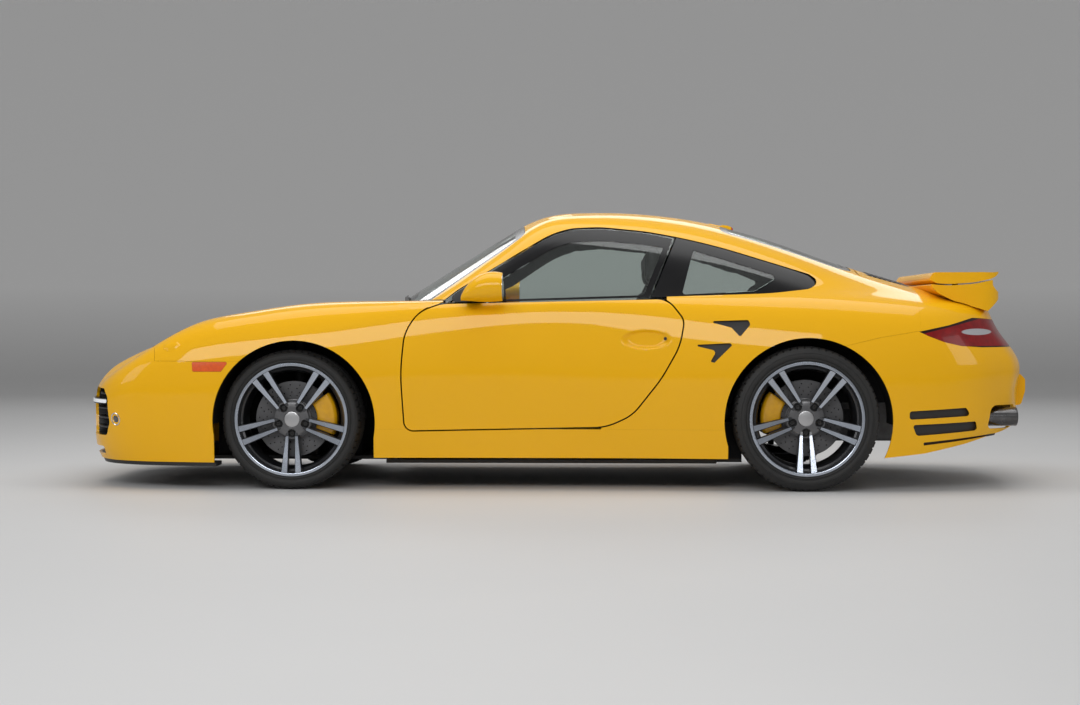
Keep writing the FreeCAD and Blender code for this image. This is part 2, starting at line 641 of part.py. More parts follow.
deck_grid = from_above(body, deck_rows, deck_offsets, 600)

roof_sheet = sheet(greenhouse, roof_grid, 0, ROOF_THICKNESS)
fender_sheet = sheet(lower_body, fender_grid, 0, PANEL)
quarter_sheet = sheet(body, quarter_grid, 0, PANEL)
nose_sheet = sheet(lower_body, nose_grid, 0, BUMPER)
tail_sheet = sheet(body, tail_grid, 0, BUMPER)
lid_sheet = sheet(lower_body, lid_grid, 0, PANEL)
deck_sheet = sheet(body, deck_grid, 0, PANEL)
cowl_sheet = sheet(lower_body, cowl_grid, 0, PANEL)
above_fender = sheet(lower_body, fender_grid, -FOOT_SEAM, 90)
under_feet = [sheet(lower_body, cowl_grid, -FOOT_SEAM, 90), above_fender, mirrored(above_fender)]

ACROSS = 1100.0
front_arch_cut = side_cylinder(*FRONT_ARCH, -ACROSS, ACROSS)
rear_arch_cut = side_cylinder(*REAR_ARCH, -ACROSS, ACROSS)
door_cut = side_prism(DOOR, -ACROSS, -560, SHUT_GAP)
window_cut = side_prism(WINDOW_OPENING, -ACROSS, -300)


def headlamp_prism(grow):
    """The lamp's oval as seen from ahead, carried back through the fender, for the left side."""
    oval = Part.Ellipse(V(0, 0, 0), HEADLAMP["half_height"] + grow, HEADLAMP["half_width"] + grow)
    face = Part.Face(Part.Wire([oval.toShape()]))
    face.rotate(V(0, 0, 0), V(0, 1, 0), -90)
    face.rotate(V(0, 0, 0), V(1, 0, 0), HEADLAMP["lean"])
    face.translate(V(-900, -HEADLAMP["y"], HEADLAMP["z"]))
    return face.extrude(V(620, 0, 0))


# Body panels

windscreen_cut = plan_prism(WINDSCREEN_OPENING, 700, 1400)
rear_window_cut = plan_prism(REAR_WINDOW_OPENING, 700, 1400)
roof_ends = [box(ROOF_END, 2100, -800, 800, 700, 1400), box(300, 760, -800, 800, 600, 866)]
roof = roof_sheet.cut(under_feet + roof_ends + [windscreen_cut, window_cut, mirrored(window_cut), rear_window_cut])
housing_sections = []
for s, half_width, rise in ROOF_HOUSING:
    top, foot = roof_line(s) + max(rise, HOUSING_LIFT + 1), roof_line(s) + HOUSING_LIFT
    corners = [V(s, half_width, foot), V(s, -half_width, foot),
               V(s, 5 - half_width, top), V(s, half_width - 5, top)]
    housing_sections.append(Part.Wire(Part.makePolygon(corners + corners[:1])))
foot_start = ROOF_HOUSING[0][0] + 4
roof_housing = Part.makeLoft(housing_sections, True, True)
housing_foot = box(foot_start, ROOF_END - 2, -HOUSING_FOOT, HOUSING_FOOT,
                   roof_line(ROOF_END) - ROOF_THICKNESS / 2, roof_line(foot_start) + HOUSING_LIFT + 0.5)
roof_housing = roof_housing.fuse(housing_foot)
roof = largest(roof.fuse(roof_housing).removeSplitter())
save("roof_panel", roof)

lid_cut = plan_prism(FRONT_LID, 300, 1100, FRONT_LID_GAP)
bumper_top_cut = plan_prism(BUMPER_LINE, BUMPER_TOP, 1100)
fender_zone = plan_prism(BUMPER_LINE, BUMPER_TOP + FIXED_SEAM, 1000, -FIXED_SEAM)
lower_zone = box(60, 720, -ACROSS, 0, FENDER_FOOT, 640)
fender = fender_sheet.common(fender_zone.fuse(lower_zone).common(box(-800, 690, -ACROSS, -150, 0, 1000)))
fender = fender.cut([lid_cut, front_arch_cut, door_cut, window_cut, headlamp_prism(FIXED_SEAM),
                     plan_prism([(336, -COWL_HALF - FIXED_SEAM, 0), (800, -COWL_HALF - FIXED_SEAM, 0),
                                 (800, 0, 0), (336, 0, 0)], 700, 1000)])
fender = largest(fender)
save("front_fender_left", fender)
save("front_fender_right", mirrored(fender))


def swan_neck(axis, steps, side, under_skin):
    """A bent arm from a lid's underside round the panel beside it to an eye on its pin."""
    s, z = axis
    half = NECK_THICKNESS / 2
    arm = side_cylinder(s, z, HINGE_EYE, side - half, side + half)
    for (a0, b0), (a1, b1) in zip(steps, steps[1:]):
        length = math.hypot(a1 - a0, b1 - b0)
        bar = Part.makeBox(length, NECK_THICKNESS, NECK_THICKNESS, V(0, -half, -half))
        bar.rotate(V(0, 0, 0), V(0, 1, 0), -math.degrees(math.atan2(b1 - b0, a1 - a0)))
        bar.translate(V(s + a0, side, z + b0))
        arm = arm.fuse([bar, side_cylinder(s + a1, z + b1, half, side - half, side + half)])
    bore = side_cylinder(s, z, HINGE_PIN + PIN_GAP, side - half - 1, side + half + 1)
    return arm.cut(bore).common(under_skin)


def neck_bracket(axis, side, outwards, start, end, top):
    """A plate beside a neck's eye, hung from the fixed panel, with the pin that goes through the eye."""
    s, z = axis
    half = NECK_THICKNESS / 2
    face = side + outwards * (half + PIN_GAP)
    far = face + outwards * 8
    plate = box(start, end, min(face, far), max(face, far), z - HINGE_EYE, top)
    pin = side_cylinder(s, z, HINGE_PIN, min(side - outwards * half, far), max(side - outwards * half, far))
    return plate.fuse(pin)


FRONT_NECK_SIDE = 520.0
REAR_NECK_SIDE = 96.0
front_lid = largest(lid_sheet.common(plan_prism(FRONT_LID, 300, 1100)))
front_necks = [swan_neck(FRONT_LID_HINGE, FRONT_NECK, side, box(200, 480, -700, 700, 500, 1000))
               for side in (-FRONT_NECK_SIDE, FRONT_NECK_SIDE)]
outside_lid = sheet(lower_body, lid_grid, -60, PANEL / 2)
front_lid = largest(front_lid.fuse([neck.cut(outside_lid) for neck in front_necks]).removeSplitter())
save("front_lid", front_lid)

COWL = [(330 + HINGE_GAP, -COWL_HALF, 6), (650, -COWL_HALF, 6), (570, -300, 300), (540, 0, 900), (570, 300, 300),
        (650, COWL_HALF, 6), (330 + HINGE_GAP, COWL_HALF, 6)]
cowl = largest(cowl_sheet.common(plan_prism(COWL, 600, 1000)))
outside_cowl = sheet(lower_body, cowl_grid, -60, PANEL / 2)
cowl_brackets = [neck_bracket(FRONT_LID_HINGE, side, outwards, FRONT_LID_HINGE[0] - HINGE_EYE,
                              FRONT_LID_HINGE[0] + HINGE_EYE, 880).cut(outside_cowl)
                 for side, outwards in ((-FRONT_NECK_SIDE, -1), (FRONT_NECK_SIDE, 1))]
save("cowl_panel", largest(cowl.fuse(cowl_brackets).removeSplitter()))

screen_sheet = sheet(greenhouse, screen_grid, 2, 2 + GLASS)
windscreen = screen_sheet.common(plan_prism(WINDSCREEN_OPENING, 700, 1400, -SEAT_GAP))
save("windscreen", largest(windscreen.cut(sheet(lower_body, cowl_grid, -GLASS_FOOT_SEAM, 90))))

bumper = nose_sheet.cut([bumper_top_cut, front_arch_cut, box(-352, 0, -ACROSS, ACROSS, 0, 311),
                         box(-1200, 0, -ACROSS, ACROSS, 0, 124)])
outer_intake = end_prism(OUTER_INTAKE, -1200, OUTER_INTAKE_END)
bumper = bumper.cut([outer_intake, mirrored(outer_intake), end_prism(CENTRE_INTAKE, -1200, -800),
                     end_prism(LIP_INTAKE, -1200, -800)])
marker_cut = side_prism(SIDE_MARKER, -ACROSS, -600, 1.0)
lamp_cut = headlamp_prism(FIXED_SEAM)
bumper = largest(bumper.cut([marker_cut, mirrored(marker_cut), lamp_cut, mirrored(lamp_cut)]))
save("front_bumper", bumper)
marker = largest(nose_sheet.common(side_prism(SIDE_MARKER, -ACROSS, -600)).cut(front_arch_cut))
save("side_markers", mirror_pair(marker))

lamp_sheet = sheet(lower_body, fender_grid, 0, LAMP_DEPTH)
lamp = largest(lamp_sheet.common(headlamp_prism(0)))
save("headlamps", mirror_pair(lamp))

engine_lid_cut = plan_prism(ENGINE_LID, 500, 1300, FRONT_LID_GAP)
intake_cuts = [side_prism(UPPER_INTAKE, -ACROSS, -700), side_prism(LOWER_INTAKE, -ACROSS, -700)]
quarter = quarter_sheet.cut([box(1000, 3000, -ACROSS, ACROSS, 0, FENDER_FOOT), rear_arch_cut,
                             box(QUARTER_END, 3000, -ACROSS, ACROSS, 0, 1300),
                             side_prism(BUMPER_SIDE, -ACROSS, 0, FIXED_SEAM),
                             side_prism(TAIL_LAMP, -ACROSS, -600, 1.0), door_cut, window_cut,
                             box(1300, ROOF_END + SEAT_GAP, -ACROSS, ACROSS, 1000, 1400),
                             box(1300, 1720, -ACROSS, ACROSS, 840, 1400), rear_window_cut, engine_lid_cut]
                            + intake_cuts)
outside_quarter = sheet(body, quarter_grid, -60, PANEL / 2)
band_bracket = neck_bracket(REAR_LID_HINGE, -REAR_NECK_SIDE, -1, REAR_LID_HINGE[0] - HINGE_EYE,
                            ENGINE_LID[0][0] - FRONT_LID_GAP - 5, 1100)
band_bracket = band_bracket.cut([outside_quarter, box(2500, 2612, -200, 0, REAR_LID_HINGE[1] + HINGE_EYE, 1100)])
quarter = largest(quarter.fuse(band_bracket).removeSplitter())
save("quarter_left", quarter)
save("quarter_right", mirrored(quarter))

bumper_zone = side_prism(BUMPER_SIDE, -ACROSS, ACROSS)
overriders = [side_prism(OVERRIDER, min(sides_at), max(sides_at))
              for sides_at in (OVERRIDER_SIDE, [-y for y in OVERRIDER_SIDE])]
under_bumper_skin = sheet(body, tail_grid, BUMPER / 2, 200)
rear_bumper = tail_sheet.common(bumper_zone).cut([side_prism(BUMPER_FOOT, -ACROSS, ACROSS), rear_arch_cut])
rear_bumper = rear_bumper.fuse([overrider.cut(under_bumper_skin) for overrider in overriders])
vents = [side_prism(outline, -ACROSS, -600) for outline in REAR_VENTS]
exhaust_cut = end_prism(EXHAUST_CUT, 3150, 3600)
rear_bumper = rear_bumper.cut(vents + [mirrored(vent) for vent in vents] + [exhaust_cut, mirrored(exhaust_cut)])
save("rear_bumper", largest(rear_bumper))

tail_lamp_cut = side_prism(TAIL_LAMP, -ACROSS, -TAIL_LAMP_INNER, 1.0)
rear_panel = tail_sheet.cut([side_prism(BUMPER_SIDE, -ACROSS, ACROSS, FIXED_SEAM), tail_lamp_cut,
                             mirrored(tail_lamp_cut), engine_lid_cut,
                             box(2300, QUARTER_END + SEAT_GAP, -ACROSS, ACROSS, 0, 1300)])
save("rear_panel", largest(rear_panel))
tail_lamp_sheet = sheet(body, tail_grid, 0, 45)
tail_lamp = largest(tail_lamp_sheet.common(side_prism(TAIL_LAMP, -ACROSS, -TAIL_LAMP_INNER - 1)))
save("tail_lamps", mirror_pair(tail_lamp))

engine_lid_skin = largest(deck_sheet.common(plan_prism(ENGINE_LID, 500, 1300)))
rear_glass_sheet = sheet(body, deck_grid, 2, 2 + GLASS)
rear_window = largest(rear_glass_sheet.common(plan_prism(REAR_WINDOW_OPENING, 700, 1400, -SEAT_GAP)))
save("rear_window", rear_window)


# Doors

door_skin = sheet(lower_body, side_grid, 0, DOOR_SKIN).common(side_prism(DOOR, -ACROSS, -560))
under_door_skin = sheet(lower_body, side_grid, DOOR_SKIN / 2, 175)
door_frame = under_door_skin.common(side_prism(DOOR, -ACROSS, -DOOR_INNER_FACE, -DOOR_FRAME_INSET))
hinge_s, hinge_side = DOOR_HINGE["s"], DOOR_HINGE["side"]
ahead_of_hinge = box(400, hinge_s, -900, -600, 200, 900)
swing_room = Part.makeCylinder(DOOR_HINGE["reach"], 800, V(hinge_s, -hinge_side, 150))
door_frame = door_frame.cut(ahead_of_hinge.cut(swing_room))
pocket_half = DOOR_HINGE["pocket"] / 2
pocket_end = hinge_s + DOOR_HINGE["eye"] + 8
pocket_side = -hinge_side - DOOR_HINGE["eye"] - 2
door_pockets = [box(400, pocket_end, pocket_side, -700, height - pocket_half, height + pocket_half)
                for height in DOOR_HINGE["heights"]]


def on_door_axis(radius, half, height):
    """An upright cylinder about the door's hinge axis, as long above the height as below."""
    return Part.makeCylinder(radius, 2 * half, V(hinge_s, -hinge_side, height - half))


eye_recesses = [on_door_axis(DOOR_HINGE["eye"] + 2, pocket_half, height) for height in DOOR_HINGE["heights"]]
door_pins = [on_door_axis(DOOR_HINGE["pin"], pocket_half + 12, height) for height in DOOR_HINGE["heights"]]
door_frame = door_frame.cut(door_pockets + eye_recesses)
door_skin = door_skin.cut([pocket.common(under_door_skin) for pocket in door_pockets] + eye_recesses)
handle_grid = around_axis(lower_body, spread(1490, 1770, 5), spread(8, 26, 5), 600)
handle = sheet(lower_body, handle_grid, -HANDLE_PROUD, 3).common(side_prism(HANDLE, -ACROSS, -560))
door = largest(door_skin.fuse([door_frame, handle] + door_pins).removeSplitter())
save("door_left", door)
save("door_right", mirrored(door))

glass_rows = (630, 720, 820, 940, 1060, 1200, 1350, 1500, 1650, 1810)
glass_angles = (26, 31, 36, 41, 46, 51, 57, 64)
glass_grid = around_axis(greenhouse, glass_rows, glass_angles, 450)
glass_sheet = sheet(greenhouse, glass_grid, DOOR_GLASS_DEPTH, DOOR_GLASS_DEPTH + GLASS)
door_top_cut = side_prism(DOOR, -ACROSS, -300, SEAT_GAP)
inside_frame = side_prism(WINDOW_OPENING, -ACROSS, -300, -SHUT_GAP)
belt_zone = box(740, 1700, -ACROSS, -300, 840, 900)
glass_zone = inside_frame.fuse(belt_zone).cut(door_top_cut)
ahead_of_pillar = side_prism([(600, 800, 0), (GLASS_REAR_FOOT[0] - 33, 800, 0), (*GLASS_REAR_TOP, 0),
                              (GLASS_REAR_TOP[0], 1400, 0), (600, 1400, 0)], -ACROSS, 0)
sail_zone = box(600, SAIL_END, -ACROSS, 0, 0, 1400)
door_glass = largest(glass_sheet.common(glass_zone).common(ahead_of_pillar).cut(sail_zone))
save("door_glass_left", door_glass)
save("door_glass_right", mirrored(door_glass))

sail_sheet = sheet(greenhouse, glass_grid, DOOR_GLASS_DEPTH, DOOR_GLASS_DEPTH + SAIL_THICKNESS)
sail = sail_sheet.common(inside_frame).common(box(600, SAIL_END - SEAT_GAP, -ACROSS, 0, 0, 1400))
sail = largest(sail.cut(door_top_cut))


def ellipse_wire(s, y, z, half_width, half_height):
    """An upright oval across the car at a station."""
    big, small = max(half_width, half_height), min(half_width, half_height)
    oval = Part.Ellipse(V(0, 0, 0), big, small).toShape()
    oval.rotate(V(0, 0, 0), V(0, 1, 0), 90)
    if half_width > half_height:
        oval.rotate(V(0, 0, 0), V(1, 0, 0), 90)
    oval.translate(V(s, y, z))
    return Part.Wire([oval])


mirror_sections = [ellipse_wire(s, -y, z, w, h) for s, y, z, w, h in MIRROR_SECTIONS]
mirror_shell = Part.makeLoft(mirror_sections, True, False)
mirror_foot = box(800, 872, -850, -742, 868, 906).cut(door_top_cut)
mirror = largest(mirror_shell.fuse([mirror_foot, sail]).removeSplitter())
save("door_mirror_left", mirror)
save("door_mirror_right", mirrored(mirror))

quarter_glass_rows = (1560, 1660, 1760, 1860, 1980, 2110, 2240, 2350, 2440)
quarter_glass_grid = around_axis(greenhouse, quarter_glass_rows, (26, 31, 36, 41, 46, 51, 58), 450)
quarter_glass_sheet = sheet(greenhouse, quarter_glass_grid, 4, 4 + GLASS)
quarter_glass = largest(quarter_glass_sheet.common(side_prism(QUARTER_GLASS, -ACROSS, -300)))
save("quarter_windows", mirror_pair(quarter_glass))
pillar_sheet = sheet(greenhouse, quarter_glass_grid, 3, 3 + ROOF_THICKNESS)
pillar = pillar_sheet.common(side_prism(WINDOW_OPENING, -ACROSS, -300, -SEAT_GAP))
behind_glass = side_prism([(GLASS_REAR_FOOT[0] - 26, 800, 0), (2600, 800, 0), (2600, 1400, 0),
                           (GLASS_REAR_TOP[0] + 7, 1400, 0), (GLASS_REAR_TOP[0] + 7, GLASS_REAR_TOP[1], 0)],
                          -ACROSS, 0)
pillar = pillar.common(behind_glass).cut([side_prism(QUARTER_GLASS, -ACROSS, -300, SEAT_GAP), door_cut])
pillar = largest(pillar)
save("window_pillars", mirror_pair(pillar))


# Sills, wheel liners and floor

sill_grid = around_axis(lower_body, spread(380, 1995, 9), (-6, -3.6, -1.2, 1.2, 3.6, 6), 200)
sill = sheet(lower_body, sill_grid, 0, 200)
sill = sill.common(box(370, 2000, -ACROSS, -SILL_INNER_FACE, SILL_FOOT, FENDER_FOOT - SEAT_GAP))
sill = largest(sill.cut([door_cut, front_arch_cut, rear_arch_cut]))
save("sill_panels", mirror_pair(sill))

outside_front = [sheet(lower_body, fender_grid, -60, PANEL + SEAT_GAP),
                 sheet(lower_body, nose_grid, -60, BUMPER + SEAT_GAP)]
outside_rear = [sheet(body, quarter_grid, -60, PANEL + SEAT_GAP), sheet(body, tail_grid, -60, BUMPER + SEAT_GAP)]


def liner(arch, inner_side, outside):
    """A curved shell over a wheel, just behind the edge of its arch, out to the skin, for the left side."""
    s, z, radius = arch
    shell = side_cylinder(s, z, radius + LINER_REACH + LINER, -920, -inner_side)
    shell = shell.cut([side_cylinder(s, z, radius + LINER_REACH, -ACROSS, ACROSS)] + outside)
    return largest(shell.common(box(s - 500, s + 500, -ACROSS, 0, FENDER_FOOT + 20, 1200)))


damper_hole = Part.makeCylinder(DAMPER_RADIUS + RUNNING_GAP, 700, V(0, -DAMPER_SIDE, 300))
front_liner = liner(FRONT_ARCH, FRONT_WELL, outside_front).cut(damper_hole)
rear_liner = liner(REAR_ARCH, REAR_WELL, outside_rear)
rear_s, rear_z, rear_reach = REAR_ARCH
rear_wall = side_cylinder(rear_s, rear_z, rear_reach + LINER_REACH + LINER, -REAR_WELL - LINER, -REAR_WELL)
rear_wall = rear_wall.common(box(rear_s - 500, rear_s + 500, -700, 0, WELL_WALL_FOOT, 1200))
rear_liner = largest(rear_liner.fuse(rear_wall).removeSplitter())
save("wheel_liners", Part.makeCompound([front_liner, mirrored(front_liner), rear_liner, mirrored(rear_liner)]))

save("floor_pan", plan_prism(FLOOR_PLAN, FLOOR_FOOT, CABIN_FLOOR))
firewall = box(FIREWALL, FIREWALL + TUB_WALL, -CABIN_HALF, CABIN_HALF, CABIN_FLOOR, 800)
tunnel = end_prism([(-TUNNEL_HALF, CABIN_FLOOR, 0), (TUNNEL_HALF, CABIN_FLOOR, 0),
                    (TUNNEL_HALF - 16, TUNNEL_TOP, 40), (16 - TUNNEL_HALF, TUNNEL_TOP, 40)],
                   FIREWALL, REAR_BULKHEAD + TUB_WALL)
bulkhead_half = REAR_WELL - 8
bulkhead = box(REAR_BULKHEAD, REAR_BULKHEAD + TUB_WALL, -bulkhead_half, bulkhead_half, CABIN_FLOOR, BULKHEAD_TOP)
shelf = side_prism([(REAR_BULKHEAD, BULKHEAD_TOP - TUB_WALL, 0), (2600, 860, 0), (2600, 874, 0),
                    (REAR_BULKHEAD, BULKHEAD_TOP, 0)], -bulkhead_half, bulkhead_half)
outside_door = side_prism(DOOR, -ACROSS, ACROSS, SHUT_GAP + 4)
jamb = side_prism(DOOR, -775, -722, 62).common(box(1400, 1900, -ACROSS, 0, CABIN_FLOOR, 830))
side_trim = box(1800, 1955, -736, -722, CABIN_FLOOR, 830)
heel = box(1700, REAR_BULKHEAD, -bulkhead_half, -TUNNEL_HALF + 20, CABIN_FLOOR, HEEL_TOP)
heel_side = box(1700, 1955, -736, -bulkhead_half, CABIN_FLOOR, HEEL_TOP)
left_side = jamb.fuse([side_trim, heel_side]).cut(outside_door).fuse(heel)
hinge_post = box(HINGE_POST["start"] - TUB_WALL, HINGE_POST["end"], -HINGE_POST["outer"], -HINGE_POST["inner"],
                 HINGE_POST["foot"], HINGE_POST["top"])
post_tie = box(FIREWALL, FIREWALL + TUB_WALL, -HINGE_POST["outer"], -CABIN_HALF + 1,
               HINGE_POST["foot"], HINGE_POST["top"])
hinge_arms = []
for height in DOOR_HINGE["heights"]:
    half = DOOR_HINGE["arm"] / 2
    eye = on_door_axis(DOOR_HINGE["eye"], half, height)
    arm = box(hinge_s - 9, hinge_s + 9, -hinge_side, -HINGE_POST["outer"] + 1, height - half, height + half)
    bore = on_door_axis(DOOR_HINGE["pin"] + PIN_GAP, half + 1, height)
    hinge_arms.append(arm.fuse(eye).cut(bore))
left_side = left_side.fuse(hinge_post.fuse([post_tie] + hinge_arms))
tub = firewall.fuse([tunnel, bulkhead, shelf, left_side, mirrored(left_side)])
liner_room = REAR_ARCH[2] + LINER_REACH + LINER + SEAT_GAP
liner_rooms = [side_cylinder(*REAR_ARCH[:2], liner_room, side, side + 300)
               for side in (-REAR_WELL - 300 + 8, REAR_WELL - 8)]
sill_rooms = [box(1400, 2000, side, side + 300, 0, CABIN_FLOOR + 160)
              for side in (-SILL_INNER_FACE - 300 + SEAT_GAP, SILL_INNER_FACE - SEAT_GAP)]
tub = largest(tub.cut(liner_rooms + sill_rooms))
save("cabin_tub", tub)

luggage_half = FRONT_WELL - SEAT_GAP
luggage = side_prism(LUGGAGE_SIDE, -luggage_half, luggage_half)
luggage_room = LUGGAGE_SIDE[:2] + [(LUGGAGE_SIDE[2][0], 1000, 0), (LUGGAGE_SIDE[3][0], 1000, 0)]
luggage = luggage.cut(side_prism(luggage_room, -luggage_half + LUGGAGE_WALL, luggage_half - LUGGAGE_WALL,
                                 -LUGGAGE_WALL))
luggage = luggage.fuse([box(s, s + 160, -380, 380, CABIN_FLOOR + SEAT_GAP, LUGGAGE_SIDE[0][1] + 1)
                        for s in (-420, 110)]).removeSplitter()
save("luggage_tub", luggage)


# Cabin

dash = side_prism(DASHBOARD, -CABIN_HALF, CABIN_HALF)
binnacle = side_prism(BINNACLE, -STEERING_SIDE - 170, -STEERING_SIDE + 170)
console = side_prism(CONSOLE, -CONSOLE_HALF, CONSOLE_HALF)
wheel_tilt = math.radians(STEERING_TILT)
wheel_axis = V(math.cos(wheel_tilt), 0, math.sin(wheel_tilt))
wheel_centre = V(STEERING_CENTRE[0], -STEERING_SIDE, STEERING_CENTRE[1])


def along_column(start, length, radius):
    """A cylinder on the steering column's axis. Start is measured from the wheel's centre, to the driver."""
    return Part.makeCylinder(radius, length, wheel_centre + wheel_axis * start, wheel_axis)


column = along_column(-260, 200, 42).fuse(along_column(-70, 55, 18))
save("dashboard", dash.fuse([binnacle, console, column]).removeSplitter())

rim_ring = Part.makeTorus(STEERING_RADIUS, STEERING_GRIP, wheel_centre, wheel_axis)
hub_pad = along_column(-40, 62, 62).cut(along_column(-60, 46, 18 + PIN_GAP))
steering_wheel = rim_ring.fuse(hub_pad)
for turn in (0, 180, 270):
    spoke = Part.makeBox(14, STEERING_RADIUS - 10, 40, V(-14, 0, -20))
    spoke.rotate(V(0, 0, 0), V(1, 0, 0), turn)
    spoke.rotate(V(0, 0, 0), V(0, 1, 0), -STEERING_TILT)
    spoke.translate(wheel_centre)
    steering_wheel = steering_wheel.fuse(spoke)
steering_wheel = largest(steering_wheel.cut(along_column(-60, 46, 18 + PIN_GAP)).removeSplitter())
save("steering_wheel", steering_wheel)


def seat(outlines, y, half_widths):
    pieces = [side_prism(outline, y - half, y + half) for outline, half in zip(outlines, half_widths)]
    return pieces[0].fuse(pieces[1:]).removeSplitter()


seat_rail = [(1180, CABIN_FLOOR + SEAT_GAP, 0), (1560, CABIN_FLOOR + SEAT_GAP, 0), (1560, 240, 0),
             (1180, 260, 0)]
front_seat = seat([SEAT_CUSHION, SEAT_BACK, SEAT_HEAD, seat_rail], -SEAT_SIDE,
                  [SEAT_HALF_WIDTH, SEAT_HALF_WIDTH, HEAD_HALF_WIDTH, SEAT_HALF_WIDTH - 40])
save("front_seats", mirror_pair(front_seat))
rear_seat = seat([REAR_SEAT_CUSHION, REAR_SEAT_BACK], -SEAT_SIDE, [REAR_SEAT_HALF_WIDTH] * 2)
save("rear_seats", mirror_pair(rear_seat))


# Engine, exhaust and rear suspension

engine_end = MUFFLER["s"] - MUFFLER["radius"] - SEAT_GAP
save("powertrain", box(ENGINE_START, engine_end, -ENGINE_HALF, ENGINE_HALF, 200, 640))


def tail_pipe():
    """An oval tip on the left side, open at its rear end."""
    outer = ellipse_wire(EXHAUST["start"] - 40, -EXHAUST["y"], EXHAUST["z"], EXHAUST["half_width"],
                         EXHAUST["half_height"])
    inner = ellipse_wire(EXHAUST["start"], -EXHAUST["y"], EXHAUST["z"], EXHAUST["half_width"] - EXHAUST["wall"],
                         EXHAUST["half_height"] - EXHAUST["wall"])
    tip = Part.Face(outer).extrude(V(EXHAUST["end"] - EXHAUST["start"] + 40, 0, 0))
    return tip.cut(Part.Face(inner).extrude(V(400, 0, 0)))


muffler = side_cylinder(MUFFLER["s"], EXHAUST["z"], MUFFLER["radius"],
                        -MUFFLER["half_length"], MUFFLER["half_length"])
tip = tail_pipe()
save("exhaust", muffler.fuse([tip, mirrored(tip)]).removeSplitter())


# Lids and wing

wing_plan = plan_prism(WING_PLAN, 700, 1200)
wing_base = side_prism(WING_BASE, -700, 700).common(wing_plan)
lid_core = wing_base.common(plan_prism(ENGINE_LID, 500, 1300, -2)).cut(sheet(body, deck_grid, PANEL / 2, 160))
wing_ends = wing_base.cut(sheet(body, tail_grid, -WING_CLEARANCE, 200))
outside_deck = sheet(body, deck_grid, -60, PANEL / 2)
rear_necks = [swan_neck(REAR_LID_HINGE, REAR_NECK, side, box(2500, 2900, -300, 300, 800, 1100)).cut(outside_deck)
              for side in (-REAR_NECK_SIDE, REAR_NECK_SIDE)]
post_foot = WING_POST["length"]


def wing_post(side, grow):
    """A slider under the wing, or with grow the hole that it slides in."""
    top = WING_BLADE[2][1] + 6
    foot = V(WING_POST["s"], side, top - post_foot - grow)
    return Part.makeCylinder(WING_POST["radius"] + grow, post_foot + 2 * grow, foot)


post_sides = (-WING_POST["side"], WING_POST["side"])
engine_lid = engine_lid_skin.fuse([lid_core, wing_ends] + rear_necks)
engine_lid = engine_lid.cut([wing_post(side, PIN_GAP) for side in post_sides])
save("engine_lid", largest(engine_lid.removeSplitter()))
wing_blade = side_prism(WING_BLADE, -700, 700).common(wing_plan)
save("wing_blade", largest(wing_blade.fuse([wing_post(side, 0) for side in post_sides]).removeSplitter()))


# Grilles behind the openings

low_nose_grid = [row[:7] for row in nose_grid[2:-2]]
duct_sheet = sheet(lower_body, low_nose_grid, BUMPER + FIXED_SEAM, 78)
slat_sheet = sheet(lower_body, low_nose_grid, 22, 46)
back_sheet = sheet(lower_body, low_nose_grid, 70, 78)


def intake_duct(corners, start, end, slat_heights):
    """The duct behind an opening in the bumper: walls, level slats and the dark matrix at its end."""
    opening = end_prism(corners, start, end)
    around_opening = end_prism(corners, start, end, 8).cut(opening)
    walls = duct_sheet.common(around_opening)
    bars = [slat_sheet.common(opening.common(box(-1300, 0, -900, 900, z, z + 7))) for z in slat_heights]
    back = back_sheet.common(opening)
    return largest(walls.fuse(bars + [back]).removeSplitter())


outer_duct = intake_duct(OUTER_INTAKE, -1200, OUTER_INTAKE_END + 30, (272, 316, 360, 428))
centre_duct = intake_duct(CENTRE_INTAKE, -1200, -800, (240, 268, 296))
save("front_grilles", Part.makeCompound([outer_duct, mirrored(outer_duct), centre_duct]))


def vent_plates_behind(grid, wall, outlines, grow):
    """Dark plates that close openings from behind."""
    backing = sheet(body, grid, wall + SEAT_GAP, wall + 5)
    return [largest(backing.common(side_prism(outline, -ACROSS, -560, grow))) for outline in outlines]


vent_plates = vent_plates_behind(quarter_grid, PANEL, (UPPER_INTAKE, LOWER_INTAKE), 7)
vent_plates += vent_plates_behind(tail_grid, BUMPER, REAR_VENTS, 3)
save("vent_grilles", Part.makeCompound(vent_plates + [mirrored(plate) for plate in vent_plates]))

lip_grid = around_point(lower_body, V(-300, 0, 200), nose_headings, (-12, -9, -6, -3), -1)
lip_zone = box(-1200, -345, -ACROSS, ACROSS, FLOOR_FOOT - 6, 124 - SEAT_GAP)
lip = sheet(lower_body, lip_grid, 6, 150).common(lip_zone)
lip = largest(lip.cut(front_arch_cut))
save("front_lip", lip)


# Wheels. Each is drawn with its axle along Z and its outer face towards +Z, then turned to its place.

def revolve(profile):
    """Radius and height corners turned round the Z axis."""
    points = [V(r, 0, w) for r, w in profile]
    return Part.Face(Part.makePolygon(points + points[:1])).revolve(V(0, 0, 0), V(0, 0, 1), 360)


def around(shape, count):
    copies = []
    for i in range(count):
        turned = shape.copy()
        turned.rotate(V(0, 0, 0), V(0, 0, 1), 360 * i / count)
        copies.append(turned)
    return copies


def make_tyre(size):
    half = size["width"] / 2
    outer, bead = size["radius"], size["rim"] + SEAT_GAP
    side = [(bead, half - 24), (RIM_LIP + 3, half - 10), (RIM_LIP + 23, half), (outer - 20, half - 9),
            (outer, half - 36)]
    return revolve(side + [(r, -w) for r, w in reversed(side)])


